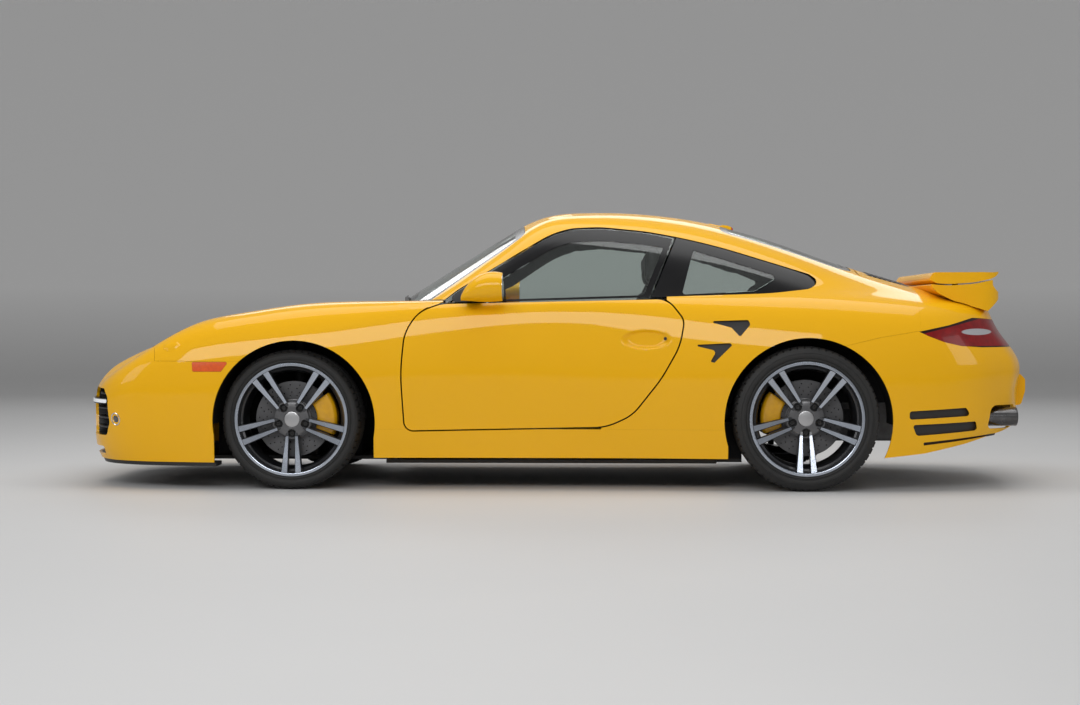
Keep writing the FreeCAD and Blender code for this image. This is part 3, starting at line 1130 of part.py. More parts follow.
def make_rim(size, hub_face):
    half = size["width"] / 2 - 6
    bead = size["rim"]
    outside = [(RIM_LIP, half), (RIM_LIP, half - 6), (bead, half - 12), (bead, half - 34),
               (bead - 18, half - 52), (bead - 18, 40 - half), (bead, 24 - half),
               (bead, 12 - half), (RIM_LIP, 6 - half), (RIM_LIP, -half)]
    inside = [(RIM_LIP - RIM_WALL, -half), (bead - RIM_WALL, 14 - half), (bead - 18 - RIM_WALL, 44 - half),
              (bead - 18 - RIM_WALL, half - 60), (bead - RIM_WALL, half - 38), (RIM_LIP - RIM_WALL, half)]
    barrel = revolve(outside + inside)
    rise = half - 8 - (hub_face + SPOKE_DEPTH)
    reach = (HUB_RADIUS - 24, bead - 6)
    spokes = []
    for side in (-1, 1):
        sections = []
        for r, (middle, width), w in zip(reach, (SPOKE_INNER, SPOKE_OUTER), (0, rise)):
            low, high = hub_face + w * 1.2, hub_face + w + SPOKE_DEPTH
            left, right = side * middle - width / 2, side * middle + width / 2
            corners = [V(r, left, low), V(r, right, low), V(r, right - 4, high), V(r, left + 4, high)]
            sections.append(Part.Wire(Part.makePolygon(corners + corners[:1])))
        spokes.append(Part.makeLoft(sections, True, True))
    pair = spokes[0].fuse(spokes[1])
    hub = Part.makeCylinder(HUB_RADIUS, SPOKE_DEPTH, V(0, 0, hub_face))
    bolts = around(Part.makeCylinder(BOLT_HOLE / 2, 400, V(BOLT_CIRCLE / 2, 0, -200)), SPOKE_PAIRS)
    pocket_radius, pocket_depth = BOLT_POCKET
    pocket_foot = V(BOLT_CIRCLE / 2, 0, hub_face + SPOKE_DEPTH - pocket_depth)
    pocket = Part.makeCylinder(pocket_radius / 2, 60, pocket_foot)
    bore = Part.makeCylinder(CENTRE_BORE / 2, 300, V(0, 0, hub_face + SPOKE_DEPTH - CAP_THICKNESS - 300))
    return barrel.fuse([hub] + around(pair, SPOKE_PAIRS)).cut(bolts + around(pocket, SPOKE_PAIRS) + [bore])


def make_disc(hub_face):
    """Brake disc on its hub, with a bearing bore for the stub."""
    back = hub_face - SEAT_GAP
    ring_top = back - DISC_DROP
    bore = STUB_RADIUS + PIN_GAP
    profile = [(DISC_HAT_RADIUS, ring_top), (DISC_RADIUS, ring_top), (DISC_RADIUS, ring_top - DISC_THICKNESS),
               (DISC_HAT_RADIUS - DISC_WALL, ring_top - DISC_THICKNESS), (DISC_HAT_RADIUS - DISC_WALL, back - 12),
               (bore + 8, back - 12), (bore + 8, ring_top), (bore, ring_top), (bore, back), (DISC_HAT_RADIUS, back)]
    return revolve(profile)


def make_caliper(hub_face, bearing):
    """A block bent over the disc's edge, its middle at a bearing in degrees from the car's rear, upwards."""
    ring_top = hub_face - SEAT_GAP - DISC_DROP
    ring_foot = ring_top - DISC_THICKNESS
    block = revolve([(CALIPER_INNER, ring_top + CALIPER_FACE - 6), (CALIPER_INNER + 12, ring_top + CALIPER_FACE),
                     (CALIPER_OUTER - 12, ring_top + CALIPER_FACE), (CALIPER_OUTER, ring_top + CALIPER_FACE - 12),
                     (CALIPER_OUTER, ring_foot - CALIPER_BACK), (CALIPER_INNER, ring_foot - CALIPER_BACK)])
    slot = revolve([(1, ring_top + RUNNING_GAP), (DISC_RADIUS + RUNNING_GAP, ring_top + RUNNING_GAP),
                    (DISC_RADIUS + RUNNING_GAP, ring_foot - RUNNING_GAP), (1, ring_foot - RUNNING_GAP)])
    sector = revolve_sector(CALIPER_OUTER + 20, bearing - CALIPER_SPAN / 2, CALIPER_SPAN)
    return block.cut(slot).common(sector)


def revolve_sector(radius, start, span):
    sector = Part.makeCylinder(radius, 600, V(0, 0, -300), V(0, 0, 1), span)
    sector.rotate(V(0, 0, 0), V(0, 0, 1), start)
    return sector


def make_stub(hub_face):
    """Bearing housing with the stub that the hub turns on. Returns it with the height of its inner face."""
    ring_foot = hub_face - SEAT_GAP - DISC_DROP - DISC_THICKNESS
    inner_face = ring_foot - CALIPER_BACK - 40
    housing = Part.makeCylinder(KNUCKLE_RADIUS, ring_foot - 4 - inner_face, V(0, 0, inner_face))
    stub = Part.makeCylinder(STUB_RADIUS, hub_face + 10 - inner_face, V(0, 0, inner_face))
    return housing.fuse(stub), inner_face


def caliper_bracket(hub_face, bearing):
    """A plate from the bearing housing out to the caliper's inner face."""
    top = hub_face - SEAT_GAP * 2 - DISC_DROP - DISC_THICKNESS - CALIPER_BACK
    plate = Part.makeBox(CALIPER_OUTER - 30, 70, 24, V(0, -35, top - 24))
    plate.rotate(V(0, 0, 0), V(0, 0, 1), bearing)
    return plate


def make_knuckle(hub_face):
    """The housing with lugs for the ball joints above and below it, and an arm forward for the track rod."""
    housing, inner_face = make_stub(hub_face)
    kingpin = KINGPIN_SIDE - FRONT_TRACK / 2
    lugs = Part.makeBox(44, 2 * LUG_REACH, 34, V(-22, -LUG_REACH, kingpin - 17))
    arm = Part.makeBox(130, 26, 22, V(-130, -60, inner_face))
    return housing.fuse([lugs, arm, caliper_bracket(hub_face, FRONT_CALIPER_BEARING)]).removeSplitter()


def placed(shape, axle, track):
    """Turns a wheel piece so that its outer face looks left and sets it on the left end of an axle.
    Its local X then points to the rear and its local Y up."""
    moved = shape.copy()
    moved.rotate(V(0, 0, 0), V(1, 0, 0), 90)
    moved.translate(V(axle[0], -track / 2, axle[1]))
    return moved


def save_sides(name, shape):
    save(name + "_left", shape)
    save(name + "_right", mirrored(shape))


for end, size, axle, track, hub_face in (("front", FRONT_TYRE, FRONT_AXLE, FRONT_TRACK, FRONT_HUB_FACE),
                                         ("rear", REAR_TYRE, REAR_AXLE, REAR_TRACK, REAR_HUB_FACE)):
    save_sides(end + "_tyre", placed(make_tyre(size), axle, track))
    rim = make_rim(size, hub_face)
    rim.rotate(V(0, 0, 0), V(0, 0, 1), -90)
    save_sides(end + "_rim", placed(rim, axle, track))
    save_sides(end + "_disc", placed(make_disc(hub_face), axle, track))
front_caliper = placed(make_caliper(FRONT_HUB_FACE, FRONT_CALIPER_BEARING), FRONT_AXLE, FRONT_TRACK)
save_sides("front_caliper", front_caliper)
rear_caliper = placed(make_caliper(REAR_HUB_FACE, REAR_CALIPER_BEARING), REAR_AXLE, REAR_TRACK)
save("rear_calipers", mirror_pair(rear_caliper))
save_sides("front_knuckle", placed(make_knuckle(FRONT_HUB_FACE), FRONT_AXLE, FRONT_TRACK))


# Suspension fixed to the body

def rod(start, end, radius):
    direction = V(*end) - V(*start)
    return Part.makeCylinder(radius, direction.Length, V(*start), direction)


axle_z = FRONT_AXLE[1]
lower_arm_z = axle_z - LUG_REACH - PIN_GAP
upper_arm_z = axle_z + LUG_REACH + PIN_GAP
arm_end = -KINGPIN_SIDE - 20
inner_end = -FRONT_WELL + 60
lower_arm = Part.makeBox(60, inner_end - arm_end, 24, V(-30, arm_end, lower_arm_z - 24))
upper_arm = Part.makeBox(36, -FRONT_WELL - arm_end, 16, V(-18, arm_end, upper_arm_z))
damper = Part.makeCylinder(DAMPER_RADIUS, 800 - lower_arm_z, V(0, -DAMPER_SIDE, lower_arm_z - 12))
front_arms = lower_arm.fuse([upper_arm, damper])
crossmember = box(-60, 60, inner_end - 20, -inner_end + 20, CABIN_FLOOR + SEAT_GAP, lower_arm_z)
front_suspension = crossmember.fuse([front_arms, mirrored(front_arms)])
save("front_suspension", largest(front_suspension.removeSplitter()))

rear_housing, rear_face = make_stub(REAR_HUB_FACE)
rear_hub = rear_housing.fuse(caliper_bracket(REAR_HUB_FACE, REAR_CALIPER_BEARING))
rear_hub = placed(rear_hub, REAR_AXLE, REAR_TRACK)
hub_side = -REAR_TRACK / 2 - rear_face - 20
rail = box(REAR_BULKHEAD + TUB_WALL + SEAT_GAP, 2700, -590, -545, 300, 360)
rear_arms = [rod((WHEELBASE, hub_side, 300), (2200, -560, 330), 18),
             rod((WHEELBASE, hub_side, 300), (2500, -560, 330), 18),
             rod((WHEELBASE, hub_side, 350), (2420, -560, 345), 16)]
rear_side = rear_hub.fuse(rear_arms + [rail])
crossbar = box(ENGINE_START - 70, ENGINE_START - SEAT_GAP, -560, 560, 302, 358)
rear_suspension = crossbar.fuse([rear_side, mirrored(rear_side)]).removeSplitter()
save("rear_suspension", largest(rear_suspension))


# Wipers

WIPERS = ([(500, -575, 0), (516, -575, 0), (456, 10, 0), (440, 10, 0)],
          [(452, 60, 0), (462, 560, 0), (446, 560, 0), (436, 60, 0)])
wiper_sheet = sheet(greenhouse, screen_grid, -12, 2 - SEAT_GAP)
wipers = [largest(wiper_sheet.common(plan_prism(outline, 700, 1200)).cut(under_feet[0])) for outline in WIPERS]
save("wipers", Part.makeCompound(wipers))
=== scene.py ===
# %% [markdown]
# # A rear-engined two-door coupe
# This lesson dresses a car that was built in CAD. The solids give every size and every joint.
# Blender gives the paint its depth, the windows their glass, the wheels their machined faces and the tyres their tread.

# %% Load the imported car
import bmesh
import bpy
import json
import math
import numpy as np
from contextlib import contextmanager
from mathutils import Matrix, Vector

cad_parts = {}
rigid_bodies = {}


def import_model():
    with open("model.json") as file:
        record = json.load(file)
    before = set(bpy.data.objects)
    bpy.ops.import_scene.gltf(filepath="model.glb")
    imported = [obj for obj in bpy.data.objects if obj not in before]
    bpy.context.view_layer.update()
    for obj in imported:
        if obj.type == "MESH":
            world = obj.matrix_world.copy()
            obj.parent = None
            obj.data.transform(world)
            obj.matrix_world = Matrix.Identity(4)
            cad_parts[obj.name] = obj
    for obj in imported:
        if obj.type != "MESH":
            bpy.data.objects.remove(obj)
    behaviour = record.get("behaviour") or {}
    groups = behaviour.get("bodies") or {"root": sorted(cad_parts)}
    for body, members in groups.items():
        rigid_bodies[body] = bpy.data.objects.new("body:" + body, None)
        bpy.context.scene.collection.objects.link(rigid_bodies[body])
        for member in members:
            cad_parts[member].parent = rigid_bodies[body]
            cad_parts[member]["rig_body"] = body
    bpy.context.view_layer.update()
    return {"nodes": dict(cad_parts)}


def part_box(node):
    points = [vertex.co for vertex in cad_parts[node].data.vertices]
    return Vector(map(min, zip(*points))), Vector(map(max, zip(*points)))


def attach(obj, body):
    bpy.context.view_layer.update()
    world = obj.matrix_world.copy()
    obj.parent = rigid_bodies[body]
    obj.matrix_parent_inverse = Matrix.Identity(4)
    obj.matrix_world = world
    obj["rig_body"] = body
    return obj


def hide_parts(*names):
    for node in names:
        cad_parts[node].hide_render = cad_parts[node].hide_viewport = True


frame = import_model()
scene = bpy.context.scene
ORIGIN_STATION = 1200.0  # millimetres from the front axle back to the frame's origin
SIDES = (("left", -1), ("right", 1))


# %% Helpers that link objects, add nodes and feed their inputs
def linked(name, data):
    obj = bpy.data.objects.new(name, data)
    scene.collection.objects.link(obj)
    return obj


def feed(node, given):
    """Gives inputs a value, or the output that feeds them."""
    for key, value in given.items():
        if isinstance(value, bpy.types.NodeSocket):
            node.id_data.links.new(value, node.inputs[key])
        else:
            node.inputs[key].default_value = value
    return node


def add(nodes, kind, given=None, **settings):
    node = nodes.new(kind)
    for key, value in settings.items():
        setattr(node, key, value)
    return feed(node, given or {})


def maths(nodes, operation, *values, **settings):
    return add(nodes, "ShaderNodeMath", dict(enumerate(values)), operation=operation, **settings).outputs[0]


def vector_maths(nodes, operation, *values):
    node = add(nodes, "ShaderNodeVectorMath", dict(enumerate(values)), operation=operation)
    return node.outputs["Value" if operation in ("LENGTH", "DOT_PRODUCT") else "Vector"]


def object_place(nodes):
    return add(nodes, "ShaderNodeTexCoord").outputs["Object"]


print("helpers ready")

# %% [markdown]
# ## Camera, floor and light
# The photograph shows the left side, nearly square on, from a little above the door handle.
# The camera stands ten and a half metres away with a 70 mm lens, so the two wheels look almost equally large.
# The floor curves up far away on every side, so no horizon line cuts through the windows.

# %% Camera
camera_data = bpy.data.cameras.new("camera")
camera_data.sensor_width = 36
camera_data.lens = 70.59
camera = linked("camera", camera_data)
camera.location = (0.27236, -10.5, 0.79882)
camera.rotation_euler = (math.radians(90 - 1.011), 0, math.radians(1.968))
scene.camera = camera
print("camera at", tuple(camera.location))

# %% Floor that curves up all round, far behind every camera
FLOOR_GREY = 0.6
FLOOR_RADIUS = 17.0
WALL_RADIUS = 26.0
WALL_HEIGHT = 9.0
FLAT_RADIUS = 4.0
FLOOR_STEPS = 96


def bowl_profile():
    """Radius and height, from the middle of the floor to the top of the wall."""
    turns = np.radians(np.linspace(0, 90, 13))
    depth = WALL_RADIUS - FLOOR_RADIUS
    return [(FLAT_RADIUS, 0.0)] + [(FLOOR_RADIUS + depth * math.sin(t), WALL_HEIGHT * (1 - math.cos(t)))
                                   for t in turns]


def studio_floor():
    rings = bowl_profile()
    n = FLOOR_STEPS
    turns = np.arange(n) * 2 * math.pi / n
    verts = [(0, 0, 0)] + [(r * math.cos(t), r * math.sin(t), z) for r, z in rings for t in turns]
    after = [(j + 1) % n for j in range(n)]
    faces = [(0, 1 + j, 1 + after[j]) for j in range(n)]
    for i in range(len(rings) - 1):
        a, b = 1 + n * i, 1 + n * (i + 1)
        faces += [(a + j, b + j, b + after[j], a + after[j]) for j in range(n)]
    mesh = bpy.data.meshes.new("studio_floor")
    mesh.from_pydata(verts, [], faces)
    mesh.shade_smooth()
    made = linked("studio_floor", mesh)
    return made


floor = studio_floor()
print("floor", len(floor.data.polygons), "faces")

# %% Soft boxes and the white room round them
REFLECTED_LIGHT, SEEN_LIGHT = 0.3, 0.7
scene.view_settings.view_transform = "Standard"
world = bpy.data.worlds.new("studio")
scene.world = world
world.use_nodes = True
sky = world.node_tree.nodes
light_path = add(sky, "ShaderNodeLightPath").outputs
seen = maths(sky, "MAXIMUM", light_path["Is Camera Ray"], light_path["Is Transmission Ray"])
level = add(sky, "ShaderNodeMapRange", {"To Min": REFLECTED_LIGHT, "To Max": SEEN_LIGHT, "Value": seen})
feed(sky["Background"], {"Strength": level.outputs["Result"], "Color": (1, 1, 1, 1)})


def soft_box(name, place, aim, width, height, watts):
    light = bpy.data.lights.new(name, "AREA")
    light.shape = "RECTANGLE"
    light.size = width
    light.size_y = height
    light.energy = watts
    lamp = linked(name, light)
    lamp.location = place
    lamp.rotation_euler = (Vector(aim) - Vector(place)).to_track_quat("-Z", "Y").to_euler()


soft_box("overhead", (0, 0, 5.2), (0, 0, 0), 7.0, 3.6, 170)
soft_box("left_side", (-1.5, -8.5, 4.6), (0, 0, 0.4), 8.0, 2.4, 300)
soft_box("front", (-8.0, -3.0, 3.2), (0, 0, 0.4), 3.0, 3.0, 60)
soft_box("rear", (8.0, -3.0, 3.2), (0, 0, 0.4), 3.0, 3.0, 60)
soft_box("right_side", (0, 8.0, 5.0), (0, 0, 0.4), 8.0, 2.4, 130)
print("five soft boxes")

# %% [markdown]
# ## Effects that several finishes share
# A shader node group is built once, with named inputs, and placed in each material with its own values.
# One group mottles a colour a little, the way dust and handling do. One gives a fine grain for plastic and leather.
# One gives the fine rings that a lathe leaves on metal. Two are masks: an oval patch, and everything past a slanting
# edge.


# %% Colour and gloss in patches, and a fine grain
def new_group(name, inputs, outputs):
    """An empty shader group. Its inputs have the kind of their first values."""
    kinds = {1: "NodeSocketFloat", 3: "NodeSocketVector", 4: "NodeSocketColor"}
    group = bpy.data.node_groups.new(name, "ShaderNodeTree")
    for label, value in inputs.items():
        socket = group.interface.new_socket(name=label, in_out="INPUT", socket_type=kinds[np.size(value)])
        socket.default_value = value
    for label, size in outputs.items():
        group.interface.new_socket(name=label, in_out="OUTPUT", socket_type=kinds[size])
    nodes = group.nodes
    return group, nodes, nodes.new("NodeGroupInput").outputs, nodes.new("NodeGroupOutput")


def build_mottle():
    group, nodes, given, out = new_group(
        "mottle", {"Color": (0.5, 0.5, 0.5, 1), "Second": (0.4, 0.4, 0.4, 1), "Amount": 0.3, "Scale": 8.0,
                   "Roughness": 0.5, "Swing": 0.1}, {"Color": 4, "Roughness": 1})
    noise = add(nodes, "ShaderNodeTexNoise", {"Detail": 5, "Vector": object_place(nodes), "Scale": given["Scale"]})
    spread = add(nodes, "ShaderNodeMapRange", {"From Min": 0.35, "From Max": 0.68, "Value": noise.outputs["Fac"]},
                 clamp=True).outputs["Result"]
    share = maths(nodes, "MULTIPLY", spread, given["Amount"])
    mix = add(nodes, "ShaderNodeMix", data_type="RGBA")
    feed(mix, {"Factor": share, "A": given["Color"], "B": given["Second"]})
    feed(out, {"Color": mix.outputs["Result"],
               "Roughness": maths(nodes, "MULTIPLY_ADD", spread, given["Swing"], given["Roughness"])})
    return group


def build_grain():
    group, nodes, given, out = new_group("grain", {"Scale": 600.0, "Softness": 0.5}, {"Height": 1})
    cells = add(nodes, "ShaderNodeTexVoronoi", feature="SMOOTH_F1")
    feed(cells, {"Vector": object_place(nodes), "Scale": given["Scale"], "Smoothness": given["Softness"]})
    feed(out, {"Height": maths(nodes, "SUBTRACT", 1, cells.outputs["Distance"])})
    return group


mottle_group, grain_group = build_mottle(), build_grain()
print("groups", mottle_group.name, grain_group.name)


# %% Lathe rings, and two masks
def build_lathe_rings():
    """Fine circles round a wheel's axle."""
    group, nodes, given, out = new_group("lathe_rings", {"Centre": (0, 0, 0), "Rings per metre": 900.0}, {"Height": 1})
    away = vector_maths(nodes, "SUBTRACT", object_place(nodes), given["Centre"])
    radius = vector_maths(nodes, "LENGTH", vector_maths(nodes, "MULTIPLY", away, (1, 0, 1)))
    fine = add(nodes, "ShaderNodeTexNoise", noise_dimensions="1D")
    feed(fine, {"W": radius, "Scale": given["Rings per metre"]})
    feed(out, {"Height": fine.outputs["Fac"]})
    return group


def build_patch():
    """One inside an oval, nothing outside, with a soft edge."""
    group, nodes, given, out = new_group("patch", {"Centre": (0, 0, 0), "Half size": (1, 1, 1)}, {"Mask": 1})
    away = vector_maths(nodes, "SUBTRACT", object_place(nodes), given["Centre"])
    radius = vector_maths(nodes, "LENGTH", vector_maths(nodes, "DIVIDE", away, given["Half size"]))
    soft = add(nodes, "ShaderNodeMapRange", {"From Min": 1.0, "From Max": 0.9, "Value": radius}, clamp=True)
    feed(out, {"Mask": soft.outputs["Result"]})
    return group


def build_slant():
    """Nothing below a level along a direction, one above it."""
    group, nodes, given, out = new_group(
        "slant", {"Direction": (0, 0, 1), "Level": 0.0, "Softness": 0.002}, {"Mask": 1})
    height = vector_maths(nodes, "DOT_PRODUCT", object_place(nodes), given["Direction"])
    over = maths(nodes, "SUBTRACT", height, given["Level"])
    feed(out, {"Mask": maths(nodes, "DIVIDE", over, given["Softness"], use_clamp=True)})
    return group


lathe_group, patch_group, slant_group = build_lathe_rings(), build_patch(), build_slant()
print("groups", lathe_group.name, patch_group.name, slant_group.name)

# %% [markdown]
# ## Materials
# Car paint is a matt colour under a clear coat, so the paint's own roughness is high and the coat's is low.
# Plastic, leather and rubber get the mottle and the grain. Glass keeps its transmission, with a faint green tint.


# %% One helper makes a finish
def linear(red, green, blue):
    """Linear colour from the 0 to 255 values of a screen."""
    values = [v / 255 for v in (red, green, blue)]
    return tuple(v / 12.92 if v <= 0.04045 else ((v + 0.055) / 1.055) ** 2.4 for v in values) + (1.0,)


def opaque(value):
    """A colour of four values from one grey or from red, green and blue."""
    return (tuple(value) if np.size(value) > 1 else (value,) * 3)[:3] + (1,)


def raised(material, height, strength, distance):
    """Lets a height change the direction of a material's surface."""
    nodes = material.node_tree.nodes
    bump = add(nodes, "ShaderNodeBump", {"Strength": strength, "Distance": distance, "Height": height})
    feed(nodes["Principled BSDF"], {"Normal": bump.outputs["Normal"]})


def finish(name, color, second=None, amount=0.3, scale=8.0, roughness=0.5, swing=0.08, metallic=0.0, coat=0.0,
           coat_roughness=0.03, grain=0.0, grain_scale=700.0, specular=0.5, clear=0.0, glow=None):
    material = bpy.data.materials.new(name)
    material.use_nodes = True
    nodes = material.node_tree.nodes
    color = opaque(color)
    second = tuple(c * 0.8 for c in color[:3]) if second is None else second
    mottle = add(nodes, "ShaderNodeGroup", node_tree=mottle_group)
    feed(mottle, {"Color": color, "Second": opaque(second), "Amount": amount, "Scale": scale,
                  "Roughness": roughness, "Swing": swing})
    feed(nodes["Principled BSDF"], {
        "Metallic": metallic, "Coat Weight": coat, "Coat Roughness": coat_roughness, "Specular IOR Level": specular,
        "Transmission Weight": clear, "Base Color": mottle.outputs["Color"],
        "Roughness": mottle.outputs["Roughness"]})
    if glow:
        feed(nodes["Principled BSDF"], {"Emission Color": opaque(glow[:3]), "Emission Strength": glow[3]})
    if grain:
        pebbles = add(nodes, "ShaderNodeGroup", node_tree=grain_group)
        feed(pebbles, {"Scale": grain_scale})
        raised(material, pebbles.outputs["Height"], grain, 0.0006)
    return material


print("finish() makes a material from the mottle and the grain")

# %% Painted, moulded and soft finishes
paint = finish("yellow_paint", linear(244, 182, 2), linear(240, 177, 2), amount=0.25, scale=3.0, roughness=0.5,
               swing=0.04, coat=0.6, grain=0.012, grain_scale=260.0, specular=0.1)
black_plastic = finish("black_plastic", (0.017, 0.017, 0.018), 0.03, grain=0.35, grain_scale=1400.0)
gloss_black = finish("gloss_black", (0.006, 0.006, 0.007), 0.009, roughness=0.22, swing=0.04, specular=0.35)
carpet = finish("black_carpet", (0.014, 0.014, 0.015), 0.03, amount=0.6, scale=420.0, roughness=0.95, specular=0.2,
                grain=0.9, grain_scale=420.0)
leather = finish("black_leather", (0.022, 0.022, 0.024), (0.035, 0.034, 0.034), amount=0.4, scale=14.0,
                 roughness=0.46, swing=0.12, grain=0.55, grain_scale=620.0)
headlining = finish("headlining", (0.05, 0.05, 0.052), 0.065, amount=0.4, scale=500.0, roughness=0.95, specular=0.2,
                    grain=0.5, grain_scale=900.0)
tyre_rubber = finish("tyre_rubber", 0.013, (0.026, 0.025, 0.024), amount=0.6, scale=26.0, roughness=0.52, swing=0.16,
                     specular=0.4, grain=0.2, grain_scale=1200.0)
wheel_grey = finish("wheel_grey", (0.055, 0.057, 0.062), (0.045, 0.046, 0.05), roughness=0.34, swing=0.06,
                    metallic=0.75, coat=0.5, coat_roughness=0.08)
hub_grey = finish("hub_grey", (0.13, 0.13, 0.135), (0.1, 0.1, 0.105), roughness=0.33, metallic=0.8, coat=0.4,
                  coat_roughness=0.1)
satin_silver = finish("satin_silver", (0.5, 0.5, 0.51), (0.42, 0.42, 0.43), roughness=0.3, metallic=1.0)
caliper_yellow = finish("caliper_yellow", linear(236, 176, 4), linear(214, 150, 4), amount=0.5, scale=40.0,
                        roughness=0.34, coat=0.6, grain=0.25, grain_scale=500.0)
dark_cast = finish("dark_cast", (0.06, 0.06, 0.062), (0.035, 0.033, 0.031), amount=0.7, scale=30.0, roughness=0.6,
                   metallic=0.6, grain=0.5, grain_scale=500.0)
engine_cast = finish("engine_cast", (0.2, 0.2, 0.205), 0.12, amount=0.6, scale=18.0, roughness=0.55, metallic=0.7,
                     grain=0.5, grain_scale=400.0)
exhaust_metal = finish("exhaust_metal", (0.16, 0.16, 0.165), (0.1, 0.095, 0.09), amount=0.6, scale=22.0,
                       roughness=0.24, swing=0.12, metallic=1.0)
chrome = finish("chrome", (0.75, 0.76, 0.78), (0.7, 0.71, 0.73), roughness=0.08, swing=0.04, metallic=1.0)
heater_copper = finish("heater_copper", (0.14, 0.06, 0.03), (0.1, 0.045, 0.02), roughness=0.5)
print("plain finishes", len(bpy.data.materials))

# %% Glass, lenses and lights
window_glass = finish("window_glass", (0.83, 0.9, 0.87), (0.8, 0.88, 0.85), amount=0.2, roughness=0.0, swing=0.0,
                      clear=1.0)
tinted_glass = finish("tinted_glass", (0.42, 0.52, 0.47), (0.4, 0.5, 0.45), amount=0.2, roughness=0.0, swing=0.0,
                      clear=1.0)
lamp_cover = finish("lamp_cover", (0.96, 0.97, 0.98), (0.94, 0.95, 0.96), amount=0.2, roughness=0.0, swing=0.0,
                    clear=1.0)
red_lens = finish("red_lens", linear(196, 12, 16), linear(150, 4, 8), amount=0.4, scale=60.0, roughness=0.12,
                  swing=0.05, coat=1.0, grain=0.2, grain_scale=160.0)
amber_lens = finish("amber_lens", linear(232, 92, 14), linear(206, 62, 8), amount=0.5, scale=90.0, roughness=0.14,
                    coat=1.0, grain=0.35, grain_scale=220.0)
reflector = finish("lamp_reflector", (0.72, 0.73, 0.75), (0.6, 0.61, 0.63), roughness=0.16, metallic=1.0)
led_white = finish("led_white", (0.9, 0.92, 0.95), (0.85, 0.87, 0.9), roughness=0.2, coat=0.6,
                   glow=(0.9, 0.95, 1.0, 0.25))
lamp_silver = finish("lamp_silver", (0.34, 0.35, 0.37), (0.24, 0.25, 0.27), amount=0.5, scale=50.0, roughness=0.24,
                     metallic=0.9)
lamp_smoked = finish("smoked_lens", (0.05, 0.055, 0.06), (0.03, 0.032, 0.035), roughness=0.06, swing=0.02, coat=1.0)
mirror_silver = finish("mirror_silver", (0.62, 0.66, 0.7), (0.6, 0.64, 0.68), roughness=0.03, swing=0.01,
                       metallic=1.0)
print("materials", len(bpy.data.materials))


# %% Tail lamp lens: red, with a clear patch and dark upper and lower edges
def masked(material, color, group, settings):
    """Lays another colour over a finish where a mask group says so."""
    nodes = material.node_tree.nodes
    shader = nodes["Principled BSDF"]
    before = shader.inputs["Base Color"].links[0].from_socket
    mask = feed(add(nodes, "ShaderNodeGroup", node_tree=group), settings)
    mix = add(nodes, "ShaderNodeMix", data_type="RGBA")
    feed(mix, {"Factor": mask.outputs["Mask"], "A": before, "B": opaque(color)})
    feed(shader, {"Base Color": mix.outputs["Result"]})


LENS_EDGE = (0.012, 0.002, 0.003)
tail_red = finish("tail_lamp_lens", linear(138, 2, 8), linear(104, 0, 4), amount=0.7, scale=34.0, roughness=0.3,
                  swing=0.03, coat=0.25, grain=0.2, grain_scale=130.0, specular=0.25)
masked(tail_red, (0.4, 0.4, 0.42), patch_group, {"Centre": (1.945, 0, 0.722), "Half size": (0.085, 9.0, 0.0155)})
masked(tail_red, LENS_EDGE, slant_group, {"Direction": (-0.228, 0, 0.974), "Level": 0.3125})
masked(tail_red, LENS_EDGE, slant_group, {"Direction": (0, 0, -1), "Level": -0.658})
print("tail lamp lens with", len(tail_red.node_tree.nodes), "nodes")


# %% Turned metal for wheels and brake discs, paint for the floor
def turned_metal(name, color, second, centre, rings, roughness):
    material = finish(name, color, second, amount=0.35, scale=5.0, roughness=roughness, swing=0.1, metallic=1.0)
    lathe_marks = add(material.node_tree.nodes, "ShaderNodeGroup", node_tree=lathe_group)
    feed(lathe_marks, {"Centre": centre, "Rings per metre": rings})
    raised(material, lathe_marks.outputs["Height"], 0.25, 0.0003)
    return material


AXLES = {"front": Vector((-1.2, 0, 0.320)), "rear": Vector((1.15, 0, 0.329))}
machined = {end: turned_metal("machined_" + end, (0.47, 0.51, 0.58), (0.4, 0.44, 0.51), axle, 1500, 0.2)
            for end, axle in AXLES.items()}
disc_iron = {end: turned_metal("disc_" + end, (0.12, 0.12, 0.125), 0.09, axle, 700, 0.42)
             for end, axle in AXLES.items()}
floor_finish = finish("studio_paint", FLOOR_GREY, FLOOR_GREY * 0.98, amount=0.2, scale=0.8, roughness=0.6, swing=0.05)
masked(floor_finish, 0.93, slant_group, {"Direction": (0, 0, 1), "Level": 0.0, "Softness": 1.2})
floor.data.materials.append(floor_finish)
print("materials", len(bpy.data.materials))

# %% [markdown]
# ## The body's surface as one function
# The CAD source draws every panel from one function of station, side and height. It is negative inside the car and
# positive outside. The same function is written here for whole arrays. It tells where the skin is between the corners
# of the CAD's triangles, and its slope gives the exact direction of the surface, so the paint's reflections run on
# unbroken from panel to panel.

